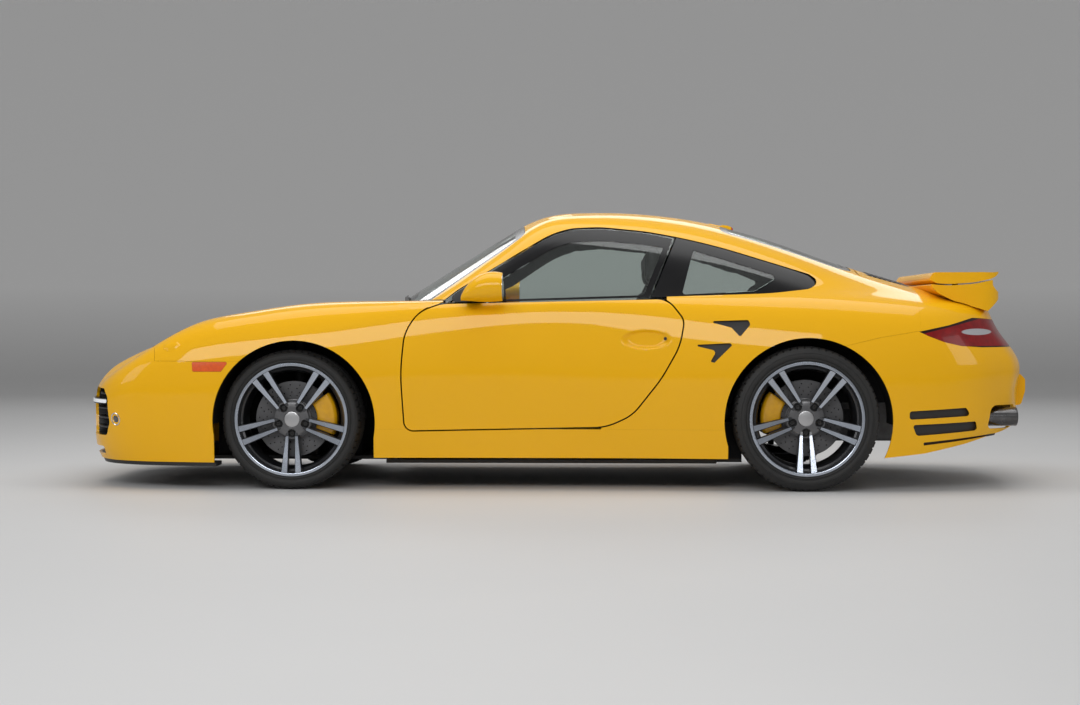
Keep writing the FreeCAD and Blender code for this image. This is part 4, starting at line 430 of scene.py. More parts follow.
# %% Curves along the car, in millimetres behind the front axle
def curve(*points):
    """A natural cubic through points, straight beyond both ends."""
    xs, ys = np.array(points, float).T
    count = len(xs)
    step = np.diff(xs)
    slope = np.diff(ys) / step
    system = np.eye(count)
    right = np.zeros(count)
    for i in range(1, count - 1):
        system[i, i - 1:i + 2] = step[i - 1], 2 * (step[i - 1] + step[i]), step[i]
        right[i] = 6 * (slope[i] - slope[i - 1])
    bend = np.linalg.solve(system, right)

    def value(x):
        i = np.clip(np.searchsorted(xs, x) - 1, 0, count - 2)
        b = (x - xs[i]) / step[i]
        a = 1 - b
        inside = a * ys[i] + b * ys[i + 1] + ((a ** 3 - a) * bend[i] + (b ** 3 - b) * bend[i + 1]) * step[i] ** 2 / 6
        before = ys[0] + (slope[0] - step[0] * bend[1] / 6) * (x - xs[0])
        after = ys[-1] + (slope[-1] + step[-1] * bend[-2] / 6) * (x - xs[-1])
        return np.where(x < xs[0], before, np.where(x > xs[-1], after, inside))
    return value


width_curves = [
    curve((-700, 815), (-360, 868), (0, 886), (400, 850), (850, 834), (1350, 834), (1700, 850), (2000, 884),
          (2350, 900), (2750, 885), (3200, 800)),
    curve((-700, 860), (-360, 890), (0, 900), (400, 874), (850, 852), (1350, 852), (1700, 872), (2000, 904),
          (2350, 921), (2750, 905), (3200, 830)),
    curve((-700, 850), (-360, 882), (0, 902), (400, 884), (850, 862), (1350, 860), (1700, 880), (2000, 912),
          (2350, 926), (2750, 908), (3200, 835)),
    curve((-700, 740), (-360, 800), (0, 836), (400, 836), (850, 826), (1350, 826), (1700, 838), (2000, 862),
          (2350, 868), (2750, 838), (3200, 760))]
width_shares = [curve(*zip((140, 350, 600, 850), row)) for row in np.eye(4)]
hood_line = curve((-1030, 462), (-967, 526), (-869, 590), (-771, 636), (-600, 694), (-400, 742), (-150, 786),
                  (150, 820), (350, 838), (480, 848), (900, 870), (2350, 880), (3300, 800))
crown_line = curve((-1000, 462), (-700, 634), (-560, 718), (-416, 777), (-315, 799), (-174, 822), (14, 849),
                   (201, 861), (388, 864), (600, 866), (1000, 876), (1500, 892), (2000, 905), (2400, 900),
                   (2800, 872), (3100, 838), (3300, 815))
crown_blend = curve((-1000, 160), (-300, 200), (200, 220), (500, 170), (900, 130), (1500, 150), (2000, 240),
                    (2600, 260), (3000, 200), (3300, 120))
nose_reach = curve((110, -990), (160, -1012), (240, -1022), (320, -1025), (420, -1025), (560, -1018), (900, -1000))
tail_reach = curve((150, 3240), (230, 3330), (300, 3372), (450, 3385), (570, 3395), (640, 3360), (720, 3300),
                   (800, 3262), (900, 3240))
roof_line = curve((380, 830), (560, 946), (755, 1068), (900, 1158), (1033, 1235), (1160, 1283), (1330, 1300),
                  (1480, 1300), (1680, 1287), (1880, 1259), (2130, 1199), (2380, 1118), (2600, 1040), (2830, 966),
                  (3006, 911), (3250, 838))
roof_drop = curve((380, 60), (800, 60), (1200, 62), (1700, 70), (2300, 90), (2700, 90), (3200, 60))
glass_foot = curve((300, 640), (500, 700), (800, 745), (1200, 766), (1700, 766), (2100, 742), (2400, 702),
                   (2700, 655), (3000, 610), (3300, 560))
cant_blend = curve((300, 60), (800, 80), (1100, 130), (1500, 220), (2000, 260), (2500, 260), (3200, 260))
waist_blend = curve((300, 30), (1700, 30), (2000, 60), (2300, 140), (2700, 200), (3300, 200))
print("side at the door", round(float(sum(c(900.0) * b(600.0) for c, b in zip(width_curves, width_shares)))), "mm out")


# %% The lower body, the greenhouse and both together
NOSE_START, TAIL_START, NARROWEST, WAIST_HEIGHT = -360, 2750, 60.0, 870


def smooth_max(a, b, blend):
    near = np.maximum(blend - np.abs(a - b), 0) / blend
    return np.maximum(a, b) + near ** 3 * blend / 6


def smooth_step(t):
    t = np.clip(t, 0, 1)
    return t * t * (3 - 2 * t)


def mixed(a, b, share):
    return a * (1 - share) + b * share


def ramp(x, start, end):
    t = np.clip((x - start) / (end - start), 0, 1)
    return t * t * t * (10 + t * (6 * t - 15))


def end_of_car(along, y, width, squareness):
    return ((np.maximum(along, 0) ** squareness + (y / width) ** squareness) ** (1 / squareness) - 1) * width


def sides(s, y, z):
    """The walls, drawn in along the nose and the tail."""
    width = np.maximum(NARROWEST, sum(c(s) * b(z) for c, b in zip(width_curves, width_shares)))
    nose = end_of_car((NOSE_START - s) / np.maximum(NARROWEST, NOSE_START - nose_reach(z)), y, width, 3.7)
    tail = end_of_car((s - TAIL_START) / np.maximum(NARROWEST, tail_reach(z) - TAIL_START), y, width, 3.0)
    return np.where(s < NOSE_START, nose, np.where(s > TAIL_START, tail, y - width))


def lower_body(s, y, z):
    """Nose, fenders, doors and tail. The top rises from the hood to the crown of the fenders."""
    y = np.abs(y)
    top = z - mixed(hood_line(s), crown_line(s), ramp(y, 300, 640))
    return smooth_max(top, sides(s, y, z), crown_blend(s))


def greenhouse(s, y, z):
    """Roof and windows. The windscreen sweeps back towards its sides, and the windows lean inwards."""
    y = np.abs(y)
    sweep = 90 * (y / 700) ** 2 * (1 - ramp(s, 900, 1300))
    top = z - (roof_line(s - sweep) - roof_drop(s) * (y / 600) ** 2)
    rise = smooth_max(z - WAIST_HEIGHT, -60.0, 120)
    side = y - (glass_foot(s) - 0.4 * rise - 0.00042 * rise * np.maximum(rise, 0))
    cabin = smooth_max(top, side, cant_blend(s))
    return np.where(s > TAIL_START, smooth_max(cabin, sides(s, y, z), 60), cabin)


def whole_body(s, y, z):
    return -smooth_max(-lower_body(s, y, z), -greenhouse(s, y, z), waist_blend(s))


def stations(points):
    """Millimetres behind the front axle."""
    return points[:, 0] * 1000 + ORIGIN_STATION


def in_car(s, y, z):
    """Metres in the car's frame, from station, side and height in millimetres."""
    return (s - ORIGIN_STATION) / 1000, y / 1000, z / 1000


def depth_and_normal(shape, points):
    """Distance outside the skin in metres, and the outward direction, for points in metres."""
    s, y, z = stations(points), points[:, 1] * 1000, points[:, 2] * 1000
    reach = 1.0
    slope = np.stack([shape(s + reach, y, z) - shape(s - reach, y, z), shape(s, y + reach, z) - shape(s, y - reach, z),
                      shape(s, y, z + reach) - shape(s, y, z - reach)], axis=1) / (2 * reach)
    steep = np.maximum(np.linalg.norm(slope, axis=1), 1e-6)
    return shape(s, y, z) / steep / 1000, slope / steep[:, None]


print("roof height", round(float(roof_line(1400.0))), "mm")

# %% [markdown]
# ## Panels with a true skin
# A CAD panel comes as triangles that are fine at its edges and long across its middle. Each one is copied and merged,
# its long edges are split until they are short, and the new corners are set on the body's surface.
# The outline, the shut lines and the thickness stay those of the CAD. Only the shading gets smoother.

# %% Copy a CAD node as arrays
MERGE_STEPS = 50000  # corners are merged on a grid with this many steps to a metre


def corner_array(mesh, what="co"):
    flat = np.empty(len(mesh.vertices) * 3)
    mesh.vertices.foreach_get(what, flat)
    return flat.reshape(-1, 3)


def cad_arrays(node):
    """Merged corners and triangles of a CAD node."""
    mesh = frame["nodes"][node].data
    corners = corner_array(mesh)
    mesh.calc_loop_triangles()
    triangles = np.empty(len(mesh.loop_triangles) * 3, int)
    mesh.loop_triangles.foreach_get("vertices", triangles)
    rounded = np.round(corners * MERGE_STEPS).astype(int)
    _, first, where = np.unique(rounded, axis=0, return_index=True, return_inverse=True)
    triangles = where.ravel()[triangles].reshape(-1, 3)
    a, b, c = triangles.T
    return corners[first], triangles[(a != b) & (b != c) & (a != c)]


# New triangles when one, two or three edges are halved: 0 to 2 are old corners, 3 to 5 the middles of the edges.
CUT_ONE = ((0, 3, 2), (3, 1, 2))
CUT_TWO = ((3, 1, 4), (0, 3, 4), (0, 4, 2))
CUT_THREE = ((0, 3, 5), (3, 1, 4), (5, 4, 2), (3, 4, 5))


def split_long_edges(corners, triangles, on_skin, limit):
    """Halves every edge between two skin corners that is longer than its limit."""
    edges = np.sort(np.concatenate([triangles[:, [0, 1]], triangles[:, [1, 2]], triangles[:, [2, 0]]]), axis=1)
    unique, where = np.unique(edges, axis=0, return_inverse=True)
    where = where.reshape(3, -1).T
    a, b = corners[unique[:, 0]], corners[unique[:, 1]]
    middle = (a + b) / 2
    split = on_skin[unique].all(axis=1) & (np.linalg.norm(a - b, axis=1) > limit(middle))
    if not split.any():
        return corners, triangles, on_skin, False
    new_index = np.full(len(unique), -1)
    new_index[split] = len(corners) + np.arange(split.sum())
    corners = np.concatenate([corners, middle[split]])
    on_skin = np.concatenate([on_skin, np.ones(split.sum(), bool)])
    m = new_index[where]
    count = (m >= 0).sum(axis=1)
    made = [triangles[count == 0]]
    for turn in range(3):
        table = np.concatenate([np.roll(triangles, -turn, axis=1), np.roll(m, -turn, axis=1)], axis=1)
        one = table[(count == 1) & (table[:, 3] >= 0)]
        two = table[(count == 2) & (table[:, 3] >= 0) & (table[:, 4] >= 0)]
        made += [one[:, pick] for pick in CUT_ONE] + [two[:, pick] for pick in CUT_TWO]
    three = np.concatenate([triangles, m], axis=1)[count == 3]
    made += [three[:, pick] for pick in CUT_THREE]
    return corners, np.concatenate(made), on_skin, True


print("roof panel's CAD copy has", len(cad_arrays("roof_panel")[1]), "triangles")

# %% Skin a panel
SKIN_EDGE, HANDLE_EDGE = 0.022, 0.006  # longest edges of triangles, in metres
SPLITS = 9
MOST_MOVED = 0.02
SKIN_FACING = 0.6  # cosine between a face and the skin's direction


def mesh_from(name, points, faces, materials, index=None):
    mesh = bpy.data.meshes.new(name)
    faces = faces.tolist() if isinstance(faces, np.ndarray) else faces
    mesh.from_pydata(np.asarray(points, float).tolist(), [], faces)
    for material in materials:
        mesh.materials.append(material)
    if index is not None:
        mesh.polygons.foreach_set("material_index", index.astype(np.int32))
    mesh.update()
    return mesh


def shaded(mesh, sharp):
    mesh.shade_smooth()
    mesh.set_sharp_from_angle(angle=math.radians(sharp))
    return mesh


def placed(name, mesh, body, replaces=()):
    """Puts a finished piece in the scene and lets it move with a CAD body."""
    obj = linked(name, mesh)
    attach(obj, body)
    if replaces:
        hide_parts(*replaces)
    return obj


def body_of(node):
    return frame["nodes"][node]["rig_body"]


def even_edges(middle):
    return np.full(len(middle), SKIN_EDGE)


def skinned(node, shape, depth=0.0, tolerance=0.004, limit=even_edges, carved=None, choose=None, materials=(paint,),
            slot="yellow_paint"):
    """A smooth copy of a CAD panel. Carved is the shape with its dishes, choose picks a material for each face."""
    corners, triangles = cad_arrays(node)
    distance, _ = depth_and_normal(shape, corners)
    on_skin = np.abs(distance + depth) < tolerance
    shape = carved or shape
    for _ in range(SPLITS):
        corners, triangles, on_skin, more = split_long_edges(corners, triangles, on_skin, limit)
        moving = corners[on_skin]
        distance, normal = depth_and_normal(shape, moving)
        corners[on_skin] = moving - normal * np.clip(distance + depth, -MOST_MOVED, MOST_MOVED)[:, None]
        if not more:
            break
    _, normal = depth_and_normal(shape, corners)
    a, b, c = corners[triangles].transpose(1, 0, 2)
    face_normal = np.cross(b - a, c - a)
    face_normal /= np.maximum(np.linalg.norm(face_normal, axis=1), 1e-12)[:, None]
    facing = (face_normal * normal[triangles].mean(axis=1)).sum(axis=1)
    skin_face = on_skin[triangles].all(axis=1) & (facing > SKIN_FACING)
    index = choose((a + b + c) / 3, face_normal, skin_face) if choose else None
    mesh = shaded(mesh_from(node + "_skin", corners, triangles, materials, index), 32)
    loose = np.empty(len(mesh.loops) * 3)
    mesh.corner_normals.foreach_get("vector", loose)
    loose = loose.reshape(-1, 3, 3)
    loose[skin_face] = normal[triangles[skin_face]]
    mesh.normals_split_custom_set(loose.reshape(-1, 3).tolist())
    print(node, "->", len(triangles), "triangles, skin", int(skin_face.sum()))
    return placed(mesh.name, mesh, body_of(node), (node,))


print("panels are split to edges of", SKIN_EDGE, "m")


# %% The dish behind the door handle
HANDLE_DISH = ((1624, 688), (118, 45), 13.0)  # middle, half size and depth


def inside_oval(s, z, middle, half):
    """One in the middle of an oval, nothing on its edge, negative outside."""
    return 1 - ((s - middle[0]) / half[0]) ** 2 - ((z - middle[1]) / half[1]) ** 2


def dished_door(s, y, z):
    """The lower body with an oval hollow that has a soft edge."""
    middle, half, depth = HANDLE_DISH
    return lower_body(s, y, z) + depth * smooth_step(inside_oval(s, z, middle, half) * 1.7)


def near_handle(middle):
    """Short edges near the hollow, long ones elsewhere."""
    close = inside_oval(stations(middle), middle[:, 2] * 1000, *HANDLE_DISH[:2]) > -0.25
    return np.where(close, HANDLE_EDGE, SKIN_EDGE)


print("door dish", HANDLE_DISH[2], "mm deep")

# %% Painted panels
def inward(shape, middle, normal, limit=-0.25):
    """Faces that look into the car."""
    _, outwards = depth_and_normal(shape, middle)
    return (normal * outwards).sum(axis=1) < limit


def under_glass(middle, normal, skin):
    """Black where the windscreen covers a panel."""
    return np.where(depth_and_normal(greenhouse, middle)[0] < -0.002, 1, 0)


def quarter_lining(middle, normal, skin):
    """Lining inside the cabin, paint everywhere else."""
    beside_cabin = (stations(middle) > 1600) & (stations(middle) < 2800) & (middle[:, 2] > 0.5)
    return np.where(~skin & beside_cabin & inward(whole_body, middle, normal), 1, 0)


def roof_lining(middle, normal, skin):
    """Cloth inside, a red lens on the back of the high brake lamp."""
    lens = (stations(middle) > 2056) & (normal[:, 0] > 0.3)
    return np.where(lens, 2, np.where(~skin & inward(greenhouse, middle, normal), 1, 0))


def door_lining(middle, normal, skin):
    """Leather on the door's card and inner face."""
    inner = (np.abs(middle[:, 1]) < 0.806) | inward(lower_body, middle, normal)
    return np.where(inner & ~skin, 1, 0)


for node in ("front_fender_left", "front_fender_right", "cowl_panel"):
    skinned(node, lower_body, choose=under_glass, materials=[paint, black_plastic])
for node in ("front_lid", "front_bumper", "sill_panels"):
    skinned(node, lower_body)
for node in ("quarter_left", "quarter_right"):
    skinned(node, whole_body, choose=quarter_lining, materials=[paint, headlining])
for node in ("rear_bumper", "rear_panel", "engine_lid"):
    skinned(node, whole_body)
skinned("roof_panel", greenhouse, choose=roof_lining, materials=[paint, headlining, red_lens])
for side, _ in SIDES:
    skinned("door_" + side, lower_body, carved=dished_door, choose=door_lining, materials=[paint, leather],
            limit=near_handle)


# %% Glass, lamps and pillars
def lamp_housing(middle, normal, skin):
    """Clear skin, black walls and a silver back."""
    return np.where(skin, 0, np.where(inward(lower_body, middle, normal, -0.8), 2, 1))


PANE = {"tolerance": 0.002, "materials": [window_glass], "slot": "clear_glass"}
for node, depth in (("windscreen", 0.002), ("quarter_windows", 0.004), ("door_glass_left", 0.003),
                    ("door_glass_right", 0.003)):
    skinned(node, greenhouse, depth=depth, **PANE)
skinned("rear_window", whole_body, depth=0.002, **{**PANE, "materials": [tinted_glass]})
skinned("window_pillars", greenhouse, depth=0.003, tolerance=0.002, materials=[gloss_black], slot="black_plastic")
skinned("side_markers", lower_body, materials=[amber_lens], slot="amber_lens")
skinned("tail_lamps", whole_body, materials=[tail_red], slot="red_lens")
skinned("headlamps", lower_body, choose=lamp_housing, materials=[lamp_cover, gloss_black, lamp_silver],
        slot="lamp_lens")

# %% [markdown]
# ## Wheels
# A wheel like this is cast, painted dark grey and then turned on a lathe, so only its front faces are bright metal.
# Barrel, tyre and brake disc are profiles turned round the axle. One pair of spokes is lofted and five copies of it
# are set round the hub with Geometry Nodes. The hub's bosses and bolt pockets are a height over a round grid.

# %% Sizes that the wheels take from the CAD
HUB_FACES = {"front": 0.056, "rear": 0.051}
SPOKE_PAIRS = 5
FIRST_PAIR = -math.pi / 2
BOLT_CIRCLE = 0.065
SPOKE_DEPTH = 0.030


def wheel_sizes(end):
    tyre_low, tyre_high = (Vector(corner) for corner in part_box(end + "_tyre_left"))
    rim_low, rim_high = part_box(end + "_rim_left")
    middle, half = (tyre_low + tyre_high) / 2, (tyre_high - tyre_low) / 2
    return {"x": middle.x, "z": middle.z, "track": -middle.y, "radius": half.z, "tyre_half": half.y,
            "rim_half": (rim_high[1] - rim_low[1]) / 2, "hub_face": HUB_FACES[end],
            "hub_top": HUB_FACES[end] + SPOKE_DEPTH}


wheels = {end: wheel_sizes(end) for end in ("front", "rear")}
print({end: {k: round(v, 4) for k, v in sizes.items()} for end, sizes in wheels.items()})


# %% Lathe, outward normals and placing at a wheel
def grid_faces(rows, across, closed=True):
    """Four-sided faces of a grid whose last row joins the first, and whose last column does too if closed."""
    i, j = np.meshgrid(np.arange(rows), np.arange(across if closed else across - 1), indexing="ij")
    k, l = (i + 1) % rows, (j + 1) % across
    return np.stack([i * across + j, i * across + l, k * across + l, k * across + j], 2).reshape(-1, 4)


def lathe(profile, steps=120, turns=None):
    """Turns a closed loop of radius and outward corners round the axle."""
    turns = np.arange(steps) * 2 * math.pi / steps if turns is None else turns
    radius, out = np.array(profile, float).T
    points = np.stack([np.outer(np.cos(turns), radius), np.outer(np.sin(turns), radius),
                       np.tile(out, (len(turns), 1))], 2)
    return points.reshape(-1, 3), grid_faces(len(turns), len(profile))


@contextmanager
def edited(mesh):
    shell = bmesh.new()
    shell.from_mesh(mesh)
    yield shell
    shell.to_mesh(mesh)
    shell.free()


def outward(mesh):
    """Turns all faces outwards."""
    with edited(mesh) as shell:
        bmesh.ops.recalc_face_normals(shell, faces=shell.faces)
    return mesh


def solid_mesh(name, points, faces, materials, index=None, sharp=32):
    return shaded(outward(mesh_from(name, points, faces, materials, index)), sharp)


def wheel_piece(name, mesh, end, side, replaces):
    """Moves a copy of a mesh from a wheel's own axes (rear, up, outwards) to its place on the car."""
    sizes = wheels[end]
    sign = dict(SIDES)[side]
    copy = mesh.copy()
    copy.name = f"{end}_{name}_{side}"
    copy.transform(Matrix(((1, 0, 0, sizes["x"]), (0, 0, sign, sign * sizes["track"]), (0, 1, 0, sizes["z"]),
                           (0, 0, 0, 1))))
    if sign > 0:
        copy.flip_normals()
    return placed(copy.name, copy, f"{end}_{side}_wheel", (f"{end}_{replaces}_{side}",))


print("lathe and placing ready")


# %% Copies round an axle or in a row, with Geometry Nodes
def new_tree(name, inputs):
    """A tree that takes a shape and named inputs."""
    tree = bpy.data.node_groups.new(name, "GeometryNodeTree")
    tree.interface.new_socket(name="Geometry", in_out="OUTPUT", socket_type="NodeSocketGeometry")
    keys = {label: tree.interface.new_socket(name=label, in_out="INPUT", socket_type="NodeSocket" + kind).identifier
            for label, kind in {"Shape": "Geometry", **inputs}.items()}
    nodes = tree.nodes
    return tree, keys, nodes, nodes.new("NodeGroupInput").outputs, nodes.new("NodeGroupOutput")


def copies_with_material(nodes, given, points, rotation=None):
    """Copies of the shape at points, joined to one mesh with the first material."""
    copies = add(nodes, "GeometryNodeInstanceOnPoints", {"Points": points, "Instance": given["Shape"]})
    if rotation:
        feed(copies, {"Rotation": rotation})
    joined = add(nodes, "GeometryNodeRealizeInstances", {0: copies.outputs[0]}).outputs[0]
    return add(nodes, "GeometryNodeSetMaterial", {"Geometry": joined, "Material": given["Material"]}).outputs[0]


def build_ring():
    """Copies round the Z axis. Faces with the attribute second get the second material."""
    tree, keys, nodes, given, out = new_tree("ring_copies", {"Count": "Int", "Material": "Material",
                                                             "Second Material": "Material"})
    spots = add(nodes, "GeometryNodePoints", {"Count": given["Count"]}).outputs[0]
    step = maths(nodes, "DIVIDE", 2 * math.pi, given["Count"])
    turn = maths(nodes, "MULTIPLY", add(nodes, "GeometryNodeInputIndex").outputs[0], step)
    about_axle = add(nodes, "ShaderNodeCombineXYZ", {"Z": turn}).outputs[0]
    ring = copies_with_material(nodes, given, spots, about_axle)
    marked = add(nodes, "GeometryNodeInputNamedAttribute", {"Name": "second"}, data_type="BOOLEAN")
    colored = add(nodes, "GeometryNodeSetMaterial", {"Geometry": ring, "Selection": marked.outputs["Attribute"],
                                                     "Material": given["Second Material"]})
    feed(out, {"Geometry": colored.outputs[0]})
    return tree, keys


def build_row():
    """Copies from the shape's own place, in equal steps."""
    tree, keys, nodes, given, out = new_tree("row_copies", {"Count": "Int", "Step": "Vector", "Material": "Material"})
    line = add(nodes, "GeometryNodeMeshLine", {"Count": given["Count"], "Offset": given["Step"]}).outputs[0]
    feed(out, {"Geometry": copies_with_material(nodes, given, line)})
    return tree, keys


RING, ROW = build_ring(), build_row()


def grown(name, mesh, tree, values):
    """The plain mesh that a tree makes from a shape."""
    tree, keys = tree
    source = linked(name, mesh)
    modifier = source.modifiers.new(tree.name, "NODES")
    modifier.node_group = tree
    for label, value in values.items():
        modifier[keys[label]] = value
    made = bpy.data.meshes.new_from_object(source.evaluated_get(bpy.context.evaluated_depsgraph_get()))
    bpy.data.objects.remove(source)
    return made


def ring_copies(name, mesh, count, material, second_material=None, second=None, start=0.0):
    if second:
        mesh.attributes.new("second", "BOOLEAN", "FACE").data.foreach_set("value", second(mesh))
    mesh.transform(Matrix.Rotation(start, 4, "Z"))
    made = grown(name, mesh, RING, {"Count": count, "Material": material,
                                    "Second Material": second_material or material})
    if "second" in made.attributes:
        made.attributes.remove(made.attributes["second"])
    return made


def row_copies(name, mesh, count, step, material, body):
    step = tuple(float(v) for v in step)
    made = grown(name + "_row", mesh, ROW, {"Count": count, "Step": step, "Material": material})
    return placed(name, shaded(made, 40), body)


print("Geometry Nodes trees", RING[0].name, ROW[0].name)


# %% Tyres with grooves, tread blocks and ribbed sidewalls
SIDEWALL = ((0.2475, 24.0), (0.2555, 15.0), (0.2610, 10.0), (0.2650, 4.5), (0.2690, 2.8), (0.2725, 4.0),
            (0.2735, 6.0), (0.2765, 5.2), (0.2780, 2.4), (0.2840, 0.6), (0.2900, 0.0), (0.2960, 0.8),
            (0.2970, 2.0), (0.2985, 2.0), (0.2995, 1.0), (0.3040, 2.8))
SHOULDER = ((12.0, 8.5), (6.5, 15.0), (3.0, 23.0), (1.2, 33.0))
TREAD_INSET = 0.036
GROOVES = (0.72, 0.24, -0.24, -0.72)
TREAD_PITCHES = 62


def tyre_profile(radius, half):
    edge = [(r, half - inset / 1000) for r, inset in SIDEWALL]
    edge += [(radius - drop / 1000, half - inset / 1000) for drop, inset in SHOULDER]
    inner = half - TREAD_INSET
    tread = []
    for centre in GROOVES:
        middle = centre * inner
        tread += [(radius - 0.0004, middle + 0.0052), (radius - 0.0075, middle + 0.0040),
                  (radius - 0.0075, middle - 0.0040), (radius - 0.0004, middle - 0.0052)]
        if centre > GROOVES[-1]:
            tread.append((radius, middle - 0.24 * inner))
    return edge + tread + [(r, -w) for r, w in reversed(edge)]


def tyre_mesh(sizes):
    tyre_radius, half = sizes["radius"], sizes["tyre_half"]
    shares = np.array((0.0, 0.78, 0.82, 0.96))
    turns = ((np.arange(TREAD_PITCHES)[:, None] + shares) * 2 * math.pi / TREAD_PITCHES).ravel()
    profile = tyre_profile(tyre_radius, half)
    points, faces = lathe(profile, turns=turns)
    grid = points.reshape(len(turns), len(profile), 3)
    out = np.abs(grid[0, :, 2])
    radius = np.hypot(grid[0, :, 0], grid[0, :, 1])
    blocks = (radius > tyre_radius - 0.008) & (out > GROOVES[0] * (half - TREAD_INSET) + 0.005)
    blocks &= out < half - 0.012
    cut = np.isin(np.arange(len(turns)) % 4, (2, 3))
    scale = np.where(cut[:, None] & blocks[None, :], 1 - 0.0055 / np.maximum(radius, 0.1)[None, :], 1.0)
    grid[:, :, :2] *= scale[:, :, None]
    return solid_mesh("tyre", grid.reshape(-1, 3), faces, [tyre_rubber], sharp=40)


for end, sizes in wheels.items():
    mesh = tyre_mesh(sizes)
    for side, _ in SIDES:
        wheel_piece("road_tyre", mesh, end, side, "tyre")
    print(end, "tyre", len(mesh.polygons), "faces")

# %% Barrel and lip
BARREL_OUTSIDE = ((0.2600, 0.0008, 1), (0.2600, 0.0060, 1), (0.2470, 0.0120, 1), (0.2470, 0.0340, 1),
                  (0.2290, 0.0520, 1), (0.2290, 0.0400, -1), (0.2470, 0.0240, -1), (0.2470, 0.0120, -1),
                  (0.2600, 0.0060, -1), (0.2600, 0.0000, -1))
BARREL_INSIDE = ((0.2510, 0.0000, -1), (0.2380, 0.0140, -1), (0.2200, 0.0440, -1), (0.2200, 0.0780, 1),
                 (0.2280, 0.0560, 1), (0.2285, 0.0440, 1), (0.2370, 0.0360, 1), (0.2375, 0.0160, 1),
                 (0.2420, 0.0100, 1), (0.2455, 0.0026, 1), (0.2470, 0.0010, 1), (0.2490, 0.0002, 1),
                 (0.2580, 0.0000, 1), (0.2592, 0.0002, 1))


def barrel_mesh(end):
    """Corners are a radius and a distance in from the outer (1) or inner (-1) edge of the rim."""
    half = wheels[end]["rim_half"]
    profile = [(r, edge * (half - inset)) for r, inset, edge in BARREL_OUTSIDE + BARREL_INSIDE]
    bright = {len(profile) - k for k in (1, 2, 3, 4, 5)} | {0}
    points, faces = lathe(profile, 144)
    index = np.tile([1 if j in bright else 0 for j in range(len(profile))], 144)
    return solid_mesh("barrel", points, faces, [wheel_grey, machined[end]], index, sharp=20)


barrels = {end: barrel_mesh(end) for end in wheels}
print("barrels", [len(mesh.polygons) for mesh in barrels.values()], "faces")

# %% A pair of spokes
SPOKE_START, SPOKE_END = 0.060, 0.2485


def spoke_sections(end, side):
    """Sections from the hub out to the lip: two corners at the back, two at the shoulders, two on the bright face."""
    hub_face, hub_top = wheels[end]["hub_face"], wheels[end]["hub_top"]
    rise = wheels[end]["rim_half"] - 0.0025 - hub_top
    sections = []
    for r in np.linspace(SPOKE_START, SPOKE_END, 12):
        t = (r - SPOKE_START) / (SPOKE_END - SPOKE_START)
        middle = side * (0.0205 + 0.0120 * t)
        face = 0.0052 + 0.0082 * t
        top = hub_top - 0.001 + rise * t ** 1.15
        low = min(hub_face + 0.004 + rise * 1.05 * t, top - 0.014)
        half_section = [(face, top), (face + 0.0022, top - 0.0035), (face + 0.0045, low)]
        across = [(-y, w) for y, w in half_section] + half_section[::-1]
        sections.append([(r, middle + y, w) for y, w in across])
    return sections


def spoke_pair(end):
    points, faces = [], []
    for side in (-1, 1):
        sections = spoke_sections(end, side)
        base, count = len(points), len(sections[0])
        last = base + (len(sections) - 1) * count
        points += [p for section in sections for p in section]
        for a in range(base, last, count):
            faces += [(a + j, a + (j + 1) % count, a + count + (j + 1) % count, a + count + j) for j in range(count)]
        faces += [tuple(range(base, base + count)), tuple(reversed(range(last, last + count)))]
    return points, faces


def bright_face(end):
    """Picks the faces that the lathe has touched."""
    lowest = wheels[end]["hub_face"] + 0.02
    return lambda mesh: [f.normal.z > 0.8 and f.center.z > lowest and f.center.x > 0.078 for f in mesh.polygons]


pairs = {end: solid_mesh("pair", *spoke_pair(end), [], sharp=25) for end in wheels}
spokes = {end: ring_copies("spokes", pairs[end], SPOKE_PAIRS, wheel_grey, machined[end], bright_face(end), FIRST_PAIR)
          for end in wheels}
print("spokes", [len(mesh.polygons) for mesh in spokes.values()], "faces")

# %% Hub with bosses, bolt pockets and a plain cap
CAP_RADIUS, CAP_GAP_RADIUS = 0.0345, 0.0365
BOSS_RADIUS, POCKET_RADIUS, POCKET_DEPTH = 0.0290, 0.0198, 0.016
HUB_RADIUS, HUB_LOBE, HUB_STEPS = 0.0780, 0.0135, 240
PAIR_TURN = 2 * math.pi / SPOKE_PAIRS


def lowered(height, to, share):
    return mixed(height, to, np.clip(share, 0, 1))


def hub_height(x, y, top):
    """Height of the hub's front over a point, in metres."""
    r = np.hypot(x, y)
    height = top - 0.007 * np.clip((r - 0.050) / 0.040, 0, 1) ** 2
    for k in range(SPOKE_PAIRS):
        turn = FIRST_PAIR + PAIR_TURN * k
        d = np.hypot(x - BOLT_CIRCLE * math.cos(turn), y - BOLT_CIRCLE * math.sin(turn))
        boss = mixed(height, top - 0.0015, smooth_step((BOSS_RADIUS - d) / 0.0050))
        height = lowered(np.maximum(height, boss), top - POCKET_DEPTH, (POCKET_RADIUS - d) / 0.0022)
    height = lowered(height, top - 0.0035, (CAP_GAP_RADIUS - r) / 0.0012)
    return lowered(height, top - 0.0005 - 2.0 * r ** 2, (CAP_RADIUS - r) / 0.0015)


def hub_edge(turn):
    """Radius of the hub's outline: a lobe behind each boss."""
    away = np.abs((turn - FIRST_PAIR + PAIR_TURN / 2) % PAIR_TURN - PAIR_TURN / 2)
    return HUB_RADIUS + HUB_LOBE * smooth_step(1 - away / math.radians(27))


